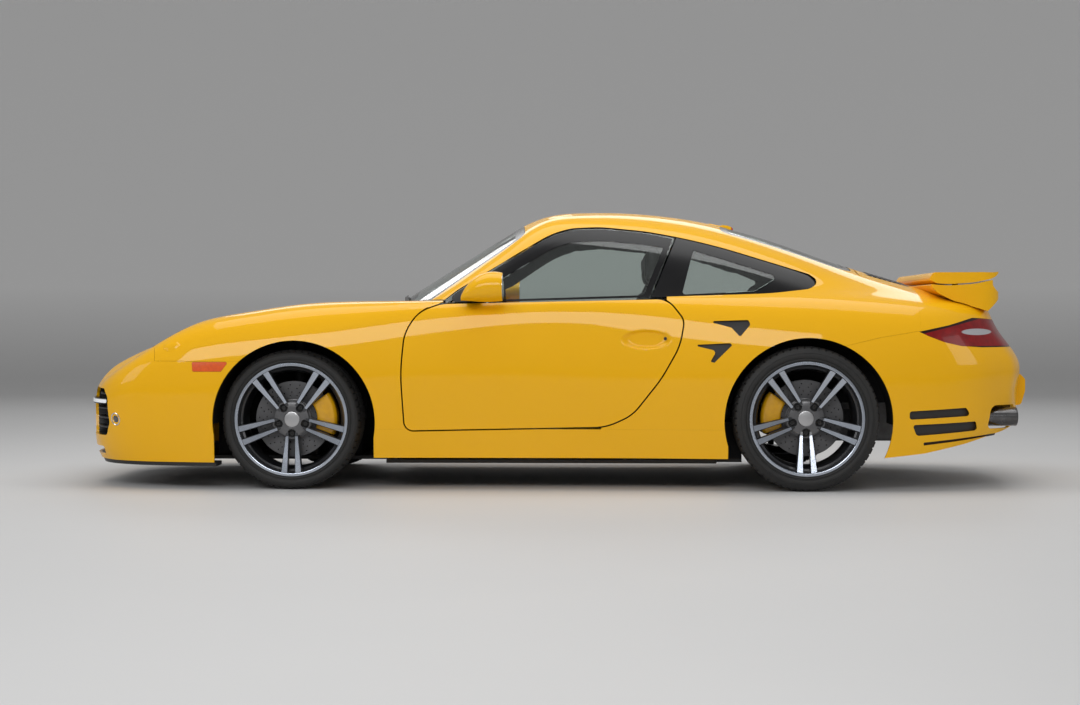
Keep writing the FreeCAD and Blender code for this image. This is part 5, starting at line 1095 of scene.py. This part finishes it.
def hub_mesh(end):
    top, back = wheels[end]["hub_top"], wheels[end]["hub_face"] + 0.001
    turns = np.arange(HUB_STEPS) * 2 * math.pi / HUB_STEPS
    front = np.concatenate([[0.0], np.linspace(0.08, 0.36, 6), np.linspace(0.375, 0.475, 8),
                            np.linspace(0.49, 1.0, 36)])
    shares = np.concatenate([front, [1.0, 0.985, 0.0]])
    edge = hub_edge(turns)
    x, y = np.outer(np.cos(turns) * edge, shares), np.outer(np.sin(turns) * edge, shares)
    z = hub_height(x, y, top)
    z[:, len(front):] = top - 0.012, back, back
    faces = grid_faces(len(turns), len(shares), closed=False)
    mesh = mesh_from("hub", np.stack([x, y, z], 2).reshape(-1, 3), faces, [hub_grey, satin_silver, gloss_black])
    with edited(mesh) as shell:
        bmesh.ops.remove_doubles(shell, verts=shell.verts, dist=1e-5)
        for face in shell.faces:
            centre = face.calc_center_median()
            if centre.xy.length < CAP_RADIUS and centre.z > top - 0.004:
                face.material_index = 1
            # Gloss black at the bottom of each bolt pocket is painted shade in the pockets.
            elif top - 0.017 < centre.z < top - 0.0145 and centre.xy.length < 0.085:
                face.material_index = 2
    return shaded(outward(mesh), 50)


def hex_bolt(radius, length):
    """A short six-sided head with a chamfered front and a socket, its axis along Z, its front at zero."""
    corners = [(radius, -length), (radius, -radius * 0.25), (radius * 0.85, 0.0), (radius * 0.5, 0.0),
               (radius * 0.5, -radius * 0.6), (0.0001, -radius * 0.6), (0.0001, -length)]
    return lathe(corners, 6)


for end, sizes in wheels.items():
    bolt, bolt_faces = hex_bolt(0.0105, 0.02)
    bolt = solid_mesh("bolt", bolt + (BOLT_CIRCLE, 0, sizes["hub_top"] - 0.0075), bolt_faces, [])
    bolts = ring_copies("bolts", bolt, SPOKE_PAIRS, dark_cast, start=FIRST_PAIR)
    parts = {"barrel": barrels[end], "spokes": spokes[end], "hub": hub_mesh(end), "wheel_bolts": bolts}
    for side, _ in SIDES:
        for name, mesh in parts.items():
            wheel_piece(name, mesh, end, side, "rim")
    print(end, "wheel", sum(len(mesh.polygons) for mesh in parts.values()), "faces")

# %% Drilled brake discs
DISC_PROFILE = [(0.0880, 0.5), (0.0905, -0.4), (0.0930, 0.0), (0.1740, 0.0), (0.1750, -1.0), (0.1750, -11.0),
                (0.1700, -11.5), (0.1700, -22.5), (0.1750, -23.0), (0.1750, -33.0), (0.1740, -34.0),
                (0.0810, -34.0), (0.0810, 18.0), (0.0376, 18.0), (0.0376, 0.0), (0.0300, 0.0), (0.0300, 30.0),
                (0.0860, 30.0), (0.0880, 28.0)]
FIRST_HAT_CORNER = 11
HOLE_ROWS, HOLE_RADII = 22, (0.108, 0.124, 0.141, 0.158)


def disc_mesh(end, front):
    """The hat in the middle is painted, the ring is bare iron."""
    points, faces = lathe([(r, front + out / 1000) for r, out in DISC_PROFILE])
    hat = [1 if j == 0 or j >= FIRST_HAT_CORNER else 0 for j in range(len(DISC_PROFILE))]
    return solid_mesh("disc", points, faces, [disc_iron[end], hub_grey], np.tile(hat, 120))


def hole_shade_row(front):
    """Drilled holes in a slanting row, drawn as dark plugs a hair proud of the disc's face: painted shade where the
    holes are.
    """
    points, faces = [], []
    for k, radius in enumerate(HOLE_RADII):
        spin = 0.16 * k + 0.05 * (k % 2)
        plug, plug_faces = lathe([(0.0032, front + 0.00025), (0.00005, front + 0.00025), (0.00005, front - 0.002),
                                  (0.0032, front - 0.002)], 10)
        faces.append(plug_faces + len(plug) * k)
        points.append(plug + (radius * math.cos(spin), radius * math.sin(spin), 0))
    return np.concatenate(points), np.concatenate(faces)


for end, sizes in wheels.items():
    front = sizes["hub_face"] - 0.0303
    disc = disc_mesh(end, front)
    # The gloss black plugs are painted shade in the drilled holes.
    holes = ring_copies("drill_hole_shades", solid_mesh("row", *hole_shade_row(front), []), HOLE_ROWS, gloss_black)
    for side, _ in SIDES:
        wheel_piece("brake_disc", disc, end, side, "disc")
        wheel_piece("drill_hole_shades", holes, end, side, "disc")
    print(end, "disc with", len(HOLE_RADII) * HOLE_ROWS, "holes")

# %% [markdown]
# ## Trim that follows the body
# Window bands, lamps and strips are drawn as outlines seen from one side and then laid on the body's surface.
# Each point's third coordinate is found by halving the interval in which the body function changes its sign.

# %% Outlines with rounded corners, laid on the body
def rounded_outline(corners, inset=0.0, steps=8):
    """Points round corners (a, b, radius). Inset is one width, or one for the side after each corner."""
    count = len(corners)
    widths = [inset] * count if np.isscalar(inset) else inset
    lines = []
    for i in range(count):
        start, end = np.array(corners[i][:2], float), np.array(corners[(i + 1) % count][:2], float)
        along = (end - start) / np.linalg.norm(end - start)
        lines.append((start + np.array((-along[1], along[0])) * widths[i], along))
    points = []
    for i in range(count):
        (p, d), (q, e) = lines[i - 1], lines[i]
        cross = d[0] * e[1] - d[1] * e[0]
        corner = p + d * (((q[0] - p[0]) * e[1] - (q[1] - p[1]) * e[0]) / cross)
        turn = math.atan2(cross, d @ e)
        radius = max(1.0, corners[i][2] - math.copysign((widths[i - 1] + widths[i]) / 2, turn))
        start = corner - d * radius * abs(math.tan(turn / 2))
        centre = start + np.array((-d[1], d[0])) * math.copysign(radius, turn)
        arm = start - centre
        for k in range(steps + 1):
            c, s = math.cos(turn * k / steps), math.sin(turn * k / steps)
            points.append(centre + (c * arm[0] - s * arm[1], s * arm[0] + c * arm[1]))
    return np.array(points)


def evenly(outer, inner, limit):
    """Adds points to two matching loops, so that no step is longer than limit."""
    rows = []
    for i in range(len(outer)):
        k = (i + 1) % len(outer)
        length = max(np.linalg.norm(outer[k] - outer[i]), np.linalg.norm(inner[k] - inner[i]))
        parts = max(1, math.ceil(length / limit))
        shares = np.arange(parts) / parts
        rows += [(outer[i] + (outer[k] - outer[i]) * t, inner[i] + (inner[k] - inner[i]) * t) for t in shares]
    return np.array([r[0] for r in rows]), np.array([r[1] for r in rows])


REACHES = {"side": (300, 1100), "plan": (450, 1400), "nose": (300, 1200)}
HALVINGS = 36


def on_body(shape, view, points, depth, side=1):
    """Points in metres, below the skin by depth. Given are two coordinates in millimetres, as seen in a view."""
    a, b = np.asarray(points, float).T
    low, high = (np.full(len(a), float(v)) for v in REACHES[view])

    def at(reach):
        return {"side": (a, reach, b), "plan": (a, b, reach), "nose": (-reach, a, b)}[view]
    for _ in range(HALVINGS):
        middle = (low + high) / 2
        outside = shape(*at(middle)) > 0
        low, high = np.where(outside, low, middle), np.where(outside, middle, high)
    found = np.stack(in_car(*at(low)), axis=1)
    found -= depth_and_normal(shape, found)[1] * (np.broadcast_to(depth, len(a)) / 1000)[:, None]
    found[:, 1] *= side
    return found


def strip_mesh(name, shape, view, outer, inner, depth, thickness, material, side=1, rows=3, limit=25):
    """A strip between two outlines, from depth to depth + thickness below the skin."""
    outer, inner = evenly(outer, inner, limit)
    flat = [outer + (inner - outer) * t for t in np.linspace(0, 1, rows)]
    loops = [on_body(shape, view, row, depth, side) for row in flat]
    loops += [on_body(shape, view, row, depth + thickness, side) for row in reversed(flat)]
    return solid_mesh(name, np.concatenate(loops), grid_faces(len(loops), len(loops[0])), [material], sharp=40)


def trim(name, shape, view, outer, inner, depth, thickness, material, body, side=1, rows=3, limit=25):
    mesh = strip_mesh(name, shape, view, outer, inner, depth, thickness, material, side, rows, limit)
    return placed(name, mesh, body)


def filled(outer, size=0.004):
    """The inner outline that turns a strip into a plate."""
    middle = (outer.max(axis=0) + outer.min(axis=0)) / 2
    return middle + (outer - middle) * size


print("outlines can be laid on the body from", list(REACHES))


# %% Black bands on the window glass
DOOR_GLASS_EDGE = [(883, 859, 3), (1640, 882, 3), (1751, 1156, 3), (1621, 1183, 900), (1415, 1203, 600),
                   (1280, 1197, 300), (1180, 1170, 400), (883, 987, 3)]
DOOR_BAND = [10, 26, 50, 54, 56, 56, 56, 22]
SCREEN_EDGE = [(400, -672, 4), (660, -642, 60), (1058, -545, 60), (1027, 0, 2600), (1058, 545, 60), (660, 642, 60),
               (400, 672, 4)]
SCREEN_BAND = [34, 30, 44, 44, 30, 34, 6]
REAR_GLASS_EDGE = [(1987, -437, 50), (2607, -397, 90), (2607, 397, 90), (1987, 437, 50)]

for side, sign in SIDES:
    trim("window_band_" + side, greenhouse, "side", rounded_outline(DOOR_GLASS_EDGE),
         rounded_outline(DOOR_GLASS_EDGE, DOOR_BAND), 2.3, 0.6, gloss_black, body_of("door_" + side),
         sign, rows=4)
trim("windscreen_band", greenhouse, "plan", rounded_outline(SCREEN_EDGE), rounded_outline(SCREEN_EDGE, SCREEN_BAND),
     1.3, 0.6, gloss_black, "root")
trim("rear_window_band", whole_body, "plan", rounded_outline(REAR_GLASS_EDGE),
     rounded_outline(REAR_GLASS_EDGE, 38), 1.3, 0.6, gloss_black, "root")
print("bands on four panes")


# %% Heater lines inside the rear window
HEATER_LINES, HEATER_POINTS = 15, 14
HEATER_SECTION = ((-0.8, 7.05), (0.8, 7.05), (0.8, 7.4), (-0.8, 7.4))


def heater_lines():
    points, faces = [], []
    for k, station in enumerate(np.linspace(2060, 2540, HEATER_LINES)):
        half = 330 + 30 * (station - 2300) / -300
        y = np.linspace(-half, half, HEATER_POINTS)
        points += [on_body(whole_body, "plan", np.stack([np.full(HEATER_POINTS, station + step), y], 1), depth)
                   for step, depth in HEATER_SECTION]
        starts = [HEATER_POINTS * (4 * k + i) for i in range(4)]
        faces += (grid_faces(4, HEATER_POINTS, closed=False) + starts[0]).tolist()
        faces += [starts, [start + HEATER_POINTS - 1 for start in reversed(starts)]]
    return np.concatenate(points), faces


placed("heater_lines", solid_mesh("heater_lines", *heater_lines(), [heater_copper]), "root")
print("heater lines", HEATER_LINES)


# %% Lamps: fog lamp, light bar, headlamp bowls
def disc_on(name, profile, centre, axis, materials, index, body, slot, steps=40):
    """A turned piece with its axle along axis at a point in metres."""
    points, faces = lathe(profile, steps)
    turn = Vector(axis).to_track_quat("Z", "Y").to_matrix().to_4x4()
    mesh = solid_mesh(name, points, faces, materials, np.tile(index, steps), sharp=35)
    mesh.transform(Matrix.Translation(centre) @ turn)
    return placed(name, mesh, body)


def nose_spot(seen, depth, sign):
    """A point on the nose, and the direction that the skin faces there."""
    spot = on_body(lower_body, "nose", [seen], depth)
    return spot[0] * (1, sign, 1), depth_and_normal(lower_body, spot)[1][0] * (1, sign, 1)


FOG_LAMP, HEADLAMP = (772, 318), (652, 668)
FOG_PROFILE = [(0.0001, -0.0130), (0.0290, -0.0130), (0.0305, 0.0000), (0.0300, 0.0030), (0.0275, 0.0042),
               (0.0245, 0.0030), (0.0238, -0.0020), (0.0210, 0.0000), (0.0110, 0.0018), (0.0001, 0.0022)]
for side, sign in SIDES:
    disc_on("small_lamp_" + side, FOG_PROFILE, *nose_spot(FOG_LAMP, 1.0, sign), [chrome, lamp_smoked],
            [0, 0, 0, 0, 0, 0, 1, 1, 1, 1], "root", "lamp_lens")
LIGHT_BAR = [(398, 386, 6), (742, 386, 8), (748, 400, 6), (742, 412, 6), (398, 412, 6)]
for side, sign in SIDES:
    outer = rounded_outline(LIGHT_BAR)
    trim("light_bar_frame_" + side, lower_body, "nose", outer, filled(outer), -2.0, 28.0, gloss_black, "root",
         sign, rows=4, limit=12)
    lens = rounded_outline(LIGHT_BAR, 5.0)
    trim("light_bar_" + side, lower_body, "nose", lens, filled(lens), -5.0, 6.0, led_white, "root", sign,
         rows=4, limit=12)
BOWL = [(0.0001, -0.0560), (0.0300, -0.0545), (0.0480, -0.0440), (0.0600, -0.0250), (0.0660, -0.0060),
        (0.0720, -0.0055), (0.0730, -0.0075), (0.0680, -0.0090), (0.0615, -0.0280), (0.0480, -0.0480),
        (0.0300, -0.0590), (0.0001, -0.0600)]
PROJECTOR = [(0.0001, -0.0500), (0.0330, -0.0500), (0.0335, -0.0300), (0.0310, -0.0275), (0.0290, -0.0280),
             (0.0280, -0.0240), (0.0220, -0.0160), (0.0120, -0.0110), (0.0001, -0.0095)]
for side, sign in SIDES:
    spot, axis = nose_spot(HEADLAMP, 5.0, sign)
    disc_on("headlamp_bowl_" + side, BOWL, spot, axis, [reflector], [0] * len(BOWL), "root", "lamp_lens", 56)
    disc_on("headlamp_projector_" + side, PROJECTOR, spot, axis, [chrome, lamp_smoked], [0, 0, 0, 0, 1, 1, 1, 1, 0],
            "root", "lamp_lens")
print("lamps done")

# %% Mirror glass and door locks
MIRROR_GLASS = [(0.0001, -0.003), (0.93, -0.003), (0.93, 0.0012), (0.90, 0.0018), (0.0001, 0.0018)]
MIRROR_HEIGHT, MIRROR_WIDTH = 0.064, 0.073
LOCK = [(0.0001, -0.004), (0.0075, -0.004), (0.0075, 0.0006), (0.006, 0.0012), (0.002, 0.0012), (0.0001, 0.0002)]
for side, sign in SIDES:
    points, faces = lathe(MIRROR_GLASS, 48)
    points *= (MIRROR_HEIGHT, MIRROR_WIDTH, 1)
    mesh = solid_mesh("mirror_glass_" + side, points[:, (2, 1, 0)], faces, [mirror_silver])
    mesh.transform(Matrix.Translation(in_car(972, sign * 897, 927)))
    placed(mesh.name, mesh, body_of("door_mirror_" + side))
for side, sign in SIDES:
    spot = on_body(lower_body, "side", [(1712, 690)], -15.0, sign)
    # The lock's gloss black middle is painted shade in the keyhole.
    disc_on("door_lock_" + side, LOCK, spot[0], (0, sign, 0.12), [dark_cast, gloss_black], [0, 0, 0, 0, 1, 1],
            body_of("door_" + side), "black_plastic", 24)
print("mirrors and locks")

# %% [markdown]
# ## Seats
# A seat is filled: its leather is pressed outwards from inside and held at its seams. Each pad starts as a slightly
# smaller closed shape, is given an even net of small faces, and is blown up as cloth for twenty frames without gravity.
# The channels are pressed in afterwards, because the net is too coarse to keep them while it is being blown up.

# %% Blow up a pad
NET_SIZE, PRESSURE, MOST_SWOLLEN = 0.012, 4.0, 0.022
BLOWING_FRAMES = 20


def prism(outline, half_low, half_high, y, taper_at):
    """A closed shape from a side outline (s, z), narrower above the height taper_at."""
    middle = outline.mean(axis=0)
    rows = []
    for share, grow in ((-1, 0.9), (-0.86, 1), (-0.4, 1), (0.4, 1), (0.86, 1), (1, 0.9)):
        flat = middle + (outline - middle) * grow
        half = np.where(flat[:, 1] > taper_at, half_high, half_low)
        rows.append(np.stack(in_car(flat[:, 0], y + share * half, flat[:, 1]), 1))
    count = len(outline)
    faces = grid_faces(len(rows), count)[:-count].tolist()
    faces += [list(range(count)), [count * len(rows) - 1 - c for c in range(count)]]
    return np.concatenate(rows), faces


def baked(obj):
    """Takes the modifiers' result as the object's own mesh."""
    mesh = bpy.data.meshes.new_from_object(obj.evaluated_get(bpy.context.evaluated_depsgraph_get()))
    obj.modifiers.clear()
    obj.data = mesh
    return mesh


def blow(obj, pressure, cap):
    """Lets the cloth swell. No corner moves further than cap."""
    start = corner_array(obj.data)
    cloth = obj.modifiers.new("cloth", "CLOTH")
    cloth.settings.quality = 5
    cloth.settings.use_pressure = True
    cloth.settings.uniform_pressure_force = pressure
    cloth.settings.effector_weights.gravity = 0
    for frame_number in range(1, BLOWING_FRAMES + 1):
        scene.frame_set(frame_number)
        bpy.context.view_layer.update()
    swollen = baked(obj)
    moved = corner_array(swollen) - start
    length = np.linalg.norm(moved, axis=1)
    moved *= (np.minimum(length, cap) / np.maximum(length, 1e-9))[:, None]
    swollen.vertices.foreach_set("co", (start + moved).ravel())
    scene.frame_set(1)


def blown_up(name, points, faces, channels):
    """A padded mesh. Channels gives the depth of the seams at each corner and its direction."""
    obj = linked(name, solid_mesh(name, points, faces, []))
    net = obj.modifiers.new("net", "REMESH")
    net.mode = "VOXEL"
    net.voxel_size = NET_SIZE
    baked(obj)
    blow(obj, PRESSURE, MOST_SWOLLEN)
    finer = obj.modifiers.new("finer", "SUBSURF")
    finer.levels = finer.render_levels = 1
    mesh = baked(obj)
    corners, normals = corner_array(mesh), corner_array(mesh, "normal")
    mesh.vertices.foreach_set("co", (corners - normals * channels(corners, normals)[:, None]).ravel())
    mesh.update()
    mesh.shade_smooth()
    bpy.data.objects.remove(obj)
    return mesh


def groove(distance, width=0.007, depth=0.006):
    return depth * np.exp(-(distance / width) ** 2)


print("pads are blown up on a net of", NET_SIZE, "m")


# %% Front and rear seats
SEAT_SIDE = 370.0
SEAT_PARTS = {
    "seat_cushion": ([(1122, 247, 30), (1588, 228, 20), (1622, 316, 40), (1400, 332, 200), (1130, 372, 40)], 236, 236,
                     0.7, "cushion"),
    "seat_back": ([(1512, 336, 40), (1630, 314, 30), (1716, 876, 100), (1680, 948, 60), (1614, 934, 40),
                   (1598, 856, 120)], 236, 214, 0.8, "back"),
    "seat_head": ([(1630, 946, 12), (1690, 956, 12), (1690, 1118, 24), (1637, 1116, 24)], 118, 112, 0.9, "head"),
    "rear_cushion": ([(1802, 312, 12), (2030, 312, 12), (2030, 390, 28), (1810, 418, 28)], 178, 178, 0.7, "cushion"),
    "rear_back": ([(1984, 396, 20), (2048, 396, 12), (2048, 738, 20), (2018, 738, 24)], 178, 170, 0.8, "head")}


def channels_for(kind, y_middle):
    def depth(corners, normals):
        s, z = stations(corners), corners[:, 2] * 1000
        side = corners[:, 1] * 1000 - y_middle
        seam = np.zeros(len(corners))
        inside = np.clip((150 - np.abs(side)) / 12, 0, 1)
        if kind == "cushion":
            up = normals[:, 2] > 0.35
            seam = groove((np.abs(side) - 150) / 1000) * up
            for station in (1240, 1320, 1400, 1480):
                seam = np.maximum(seam, groove((s - station) / 1000, 0.006, 0.004) * inside * up)
        if kind == "back":
            ahead = normals[:, 0] < -0.35
            seam = groove((np.abs(side) - 150) / 1000) * ahead
            for height in (440, 520, 600, 680, 760, 840):
                seam = np.maximum(seam, groove((z - height) / 1000, 0.006, 0.004) * inside * ahead)
        if kind == "head":
            seam = groove((np.abs(side) - 84) / 1000, 0.006, 0.004)
        return seam
    return depth


def y_mirror(mesh):
    other = mesh.copy()
    other.transform(Matrix.Diagonal((1, -1, 1, 1)))
    other.flip_normals()
    return other


for part, (corners, low_half, high_half, fill, kind) in SEAT_PARTS.items():
    points, faces = prism(rounded_outline(corners), low_half, high_half, -SEAT_SIDE, 700 if part == "seat_back" else 0)
    mesh = blown_up(part, points, faces, channels_for(kind, -SEAT_SIDE))
    mesh.materials.append(leather)
    for side, one in (("left", mesh), ("right", y_mirror(mesh))):
        node = "rear_seats" if part.startswith("rear") else "front_seats"
        piece = placed(f"{part}_{side}", one, "root", (node,))
    print(part, len(mesh.polygons), "faces")

# %% Seat bases and head restraint stems
def bevelled(name, mesh, width, segments=2, angle=30):
    """A mesh whose sharp edges are rounded."""
    obj = linked(name, mesh)
    edge = obj.modifiers.new("edge", "BEVEL")
    edge.width = width
    edge.segments = segments
    edge.limit_method = "ANGLE"
    edge.angle_limit = math.radians(angle)
    mesh = baked(obj)
    bpy.data.objects.remove(obj)
    return mesh


def block(name, low, high, taper, width, material, segments=2):
    """A soft-edged box between two corners given as station, y and height, narrower at its top by taper."""
    (s0, y0, z0), (s1, y1, z1) = low, high
    foot = np.array(((s0, y0), (s1, y0), (s1, y1), (s0, y1)), float)
    top = foot.mean(axis=0) + (foot - foot.mean(axis=0)) * taper
    points = [in_car(s, y, z0) for s, y in foot] + [in_car(s, y, z1) for s, y in top]
    faces = [(0, 3, 2, 1), (4, 5, 6, 7), (0, 1, 5, 4), (1, 2, 6, 5), (2, 3, 7, 6), (3, 0, 4, 7)]
    return shaded(bevelled(name, solid_mesh(name, points, faces, [material]), width, segments), 40)


STEM = [(0.0001, -0.03), (0.0065, -0.03), (0.0065, 0.03), (0.0001, 0.03)]
for side, sign in SIDES:
    y = sign * SEAT_SIDE
    base = block("seat_base_" + side, (1185, y - 205, 128.5), (1555, y + 205, 246), 0.94, 0.012, black_plastic, 3)
    placed(base.name, base, "root", ("front_seats",))
    for k in (-1, 1):
        stem, faces = lathe(STEM, 16)
        name = f"head_stem_{side}_{'in' if k * sign < 0 else 'out'}"
        placed(name, solid_mesh(name, stem + in_car(1664, y + 60 * k, 950), faces, [chrome]), "root")
print("seat bases and stems")

# %% [markdown]
# ## Small fittings
# Slats and keys stand in even rows, so the second Geometry Nodes tree repeats them. Dials, vents and levers are turned
# or bevelled shapes, set on the dashboard's own faces.

# %% Grille slats on the engine lid
LID_GRILLE = [(2690, -296, 16), (2893, -296, 16), (2893, 296, 16), (2690, 296, 16)]
SLATS, SLAT_STEP = 8, 23.5
opening = rounded_outline(LID_GRILLE)
# The gloss black plate under the slats is painted shade in the grille's openings.
trim("engine_lid_grille_shade", whole_body, "plan", opening, filled(opening), -0.8, 1.4, gloss_black, "rear_lid",
     rows=9)
first_slat = rounded_outline([(2702, -284, 5), (2713, -284, 5), (2713, 284, 5), (2702, 284, 5)])
slat_mesh = strip_mesh("slat", whole_body, "plan", first_slat, filled(first_slat), -4.2, 6.0, black_plastic, rows=3)
ends = on_body(whole_body, "plan", [(2707, 0), (2707 + SLAT_STEP * (SLATS - 1), 0)], 0.0)
row_copies("engine_lid_slats", slat_mesh, SLATS, (ends[1] - ends[0]) / (SLATS - 1), black_plastic, "rear_lid")
print("engine lid grille with", SLATS, "slats")

# %% Dials, vents, screen, levers and pedals
DIAL = [(0.0001, -0.012), (1.0, -0.012), (1.0, 0.002), (0.97, 0.0045), (0.91, 0.0045), (0.88, 0.001), (0.0001, 0.0006)]
DIAL_PLACES = ((-370, 38), (-296, 31), (-444, 31), (-236, 24), (-504, 24))
VENT = [(0.0001, -0.012), (0.036, -0.012), (0.036, 0.003), (0.033, 0.005), (0.029, 0.003), (0.026, -0.003),
        (0.010, -0.003), (0.008, 0.0025), (0.0001, 0.003)]
KNOB = [(0.0001, -0.005), (0.044, -0.005), (0.041, 0.004), (0.020, 0.020), (0.0065, 0.026), (0.0065, 0.074),
        (0.016, 0.080), (0.0215, 0.092), (0.020, 0.106), (0.012, 0.114), (0.0001, 0.116)]
for k, (y, radius) in enumerate(DIAL_PLACES):
    profile = [(r * radius / 1000 if r > 0.01 else r, h) for r, h in DIAL]
    disc_on(f"dial_{k}", profile, in_car(873.5, y, 824), (1, 0, 0.12), [chrome, gloss_black], [0, 0, 0, 0, 0, 1, 1],
            "root", "black_plastic", 40)
for k, y in enumerate((-610, -64, 64, 610)):
    disc_on(f"air_vent_{k}", VENT, in_car(896, y, 714), (1, 0, 0.12), [black_plastic, chrome],
            [0, 0, 0, 0, 0, 0, 0, 1, 1], "root", "black_plastic", 36)
disc_on("gear_lever", KNOB, in_car(1345, 0, 438), (-0.08, 0, 1), [leather, chrome],
        [0, 0, 0, 0, 1, 1, 0, 0, 0, 0, 0], "root", "seat_leather", 32)


def fitting(name, low, high, taper, width, material, body):
    return placed(name, block(name, low, high, taper, width, material), body)


fitting("centre_screen", (884, -88, 600), (906, 88, 672), 1.0, 0.004, gloss_black, "root")
fitting("parking_lever", (1420, 44, 430), (1600, 66, 462), 0.9, 0.006, leather, "root")
for k, y in enumerate((-300, -372, -462)):
    fitting(f"pedal_arm_{k}", (552, y - 6, 232), (564, y + 6, 566), 1.0, 0.003, dark_cast, "root")
    fitting(f"pedal_pad_{k}", (563, y - 26, 205), (573, y + 26, 268), 0.96, 0.004, black_plastic, "root")
key = block("key", (1000, -60, 530), (1018, -44, 553), 0.9, 0.0025, gloss_black)
row_copies("console_keys", key, 6, (0, 0.0208, 0), gloss_black, "root")
for side, sign in SIDES:
    body = body_of("door_" + side)
    low, high = sorted((sign * 700, sign * 748))
    fitting("armrest_" + side, (950, low, 560), (1500, high, 598), 0.97, 0.012, leather, body)
    low, high = sorted((sign * 732, sign * 748))
    fitting("inner_handle_" + side, (1010, low, 690), (1100, high, 706), 0.95, 0.004, chrome, body)
print("fittings done")

# %% [markdown]
# ## Pieces that keep their CAD form and get soft edges
# A casting or a moulding has no knife edge. The CAD triangles are copied, flat faces are joined again, and a bevel
# rounds each sharp edge by a millimetre or three. The form stays that of the CAD.

# %% Soft edges on a copy of a CAD node
def softened(node, width, materials, choose=None, segments=2):
    """A copy of a CAD node whose sharp edges are rounded."""
    mesh = mesh_from(node + "_soft", *cad_arrays(node), materials)
    with edited(mesh) as shell:
        bmesh.ops.recalc_face_normals(shell, faces=shell.faces)
        bmesh.ops.dissolve_limit(shell, angle_limit=math.radians(3), verts=shell.verts, edges=shell.edges)
    mesh = bevelled(node + "_soft", mesh, width, segments, 34)
    if choose:
        for polygon in mesh.polygons:
            polygon.material_index = choose(polygon.center)
    return placed(node + "_soft", shaded(mesh, 38), body_of(node), (node,))


def mirror_parts(centre):
    """The housing is painted, its foot and the corner plate are black."""
    return 1 if abs(centre.y) < 0.812 else 0


def tip_inside(centre):
    """Darker inside the tips, dark steel on the muffler."""
    s, y, z = centre.x * 1000 + ORIGIN_STATION, abs(centre.y) * 1000, centre.z * 1000
    away = math.hypot((y - 620) / 72, (z - 330) / 44)
    return 1 if s > 3190 and away < 0.97 else 0


for side, _ in SIDES:
    softened("door_mirror_" + side, 0.004, [paint, black_plastic], mirror_parts, 3)
    softened("front_caliper_" + side, 0.006, [caliper_yellow], segments=3)
    softened("front_knuckle_" + side, 0.003, [dark_cast])
softened("rear_calipers", 0.006, [caliper_yellow], segments=3)
softened("wing_blade", 0.005, [paint], segments=3)
softened("exhaust", 0.002, [exhaust_metal, dark_cast], tip_inside)
softened("front_suspension", 0.003, [dark_cast])
softened("rear_suspension", 0.003, [dark_cast])
softened("powertrain", 0.02, [engine_cast], segments=3)
softened("dashboard", 0.008, [leather], segments=3)
softened("steering_wheel", 0.004, [leather])
print("softened pieces done")

# %% Other CAD nodes take their finish as they are
finishes = {"front_lip": black_plastic, "front_grilles": black_plastic, "vent_grilles": black_plastic,
            "wheel_liners": carpet, "cabin_tub": carpet, "floor_pan": black_plastic, "luggage_tub": carpet,
            "wipers": black_plastic}
for node, material in finishes.items():
    data = frame["nodes"][node].data
    data.materials.clear()
    data.materials.append(material)
print("CAD nodes with a finish:", len(finishes))
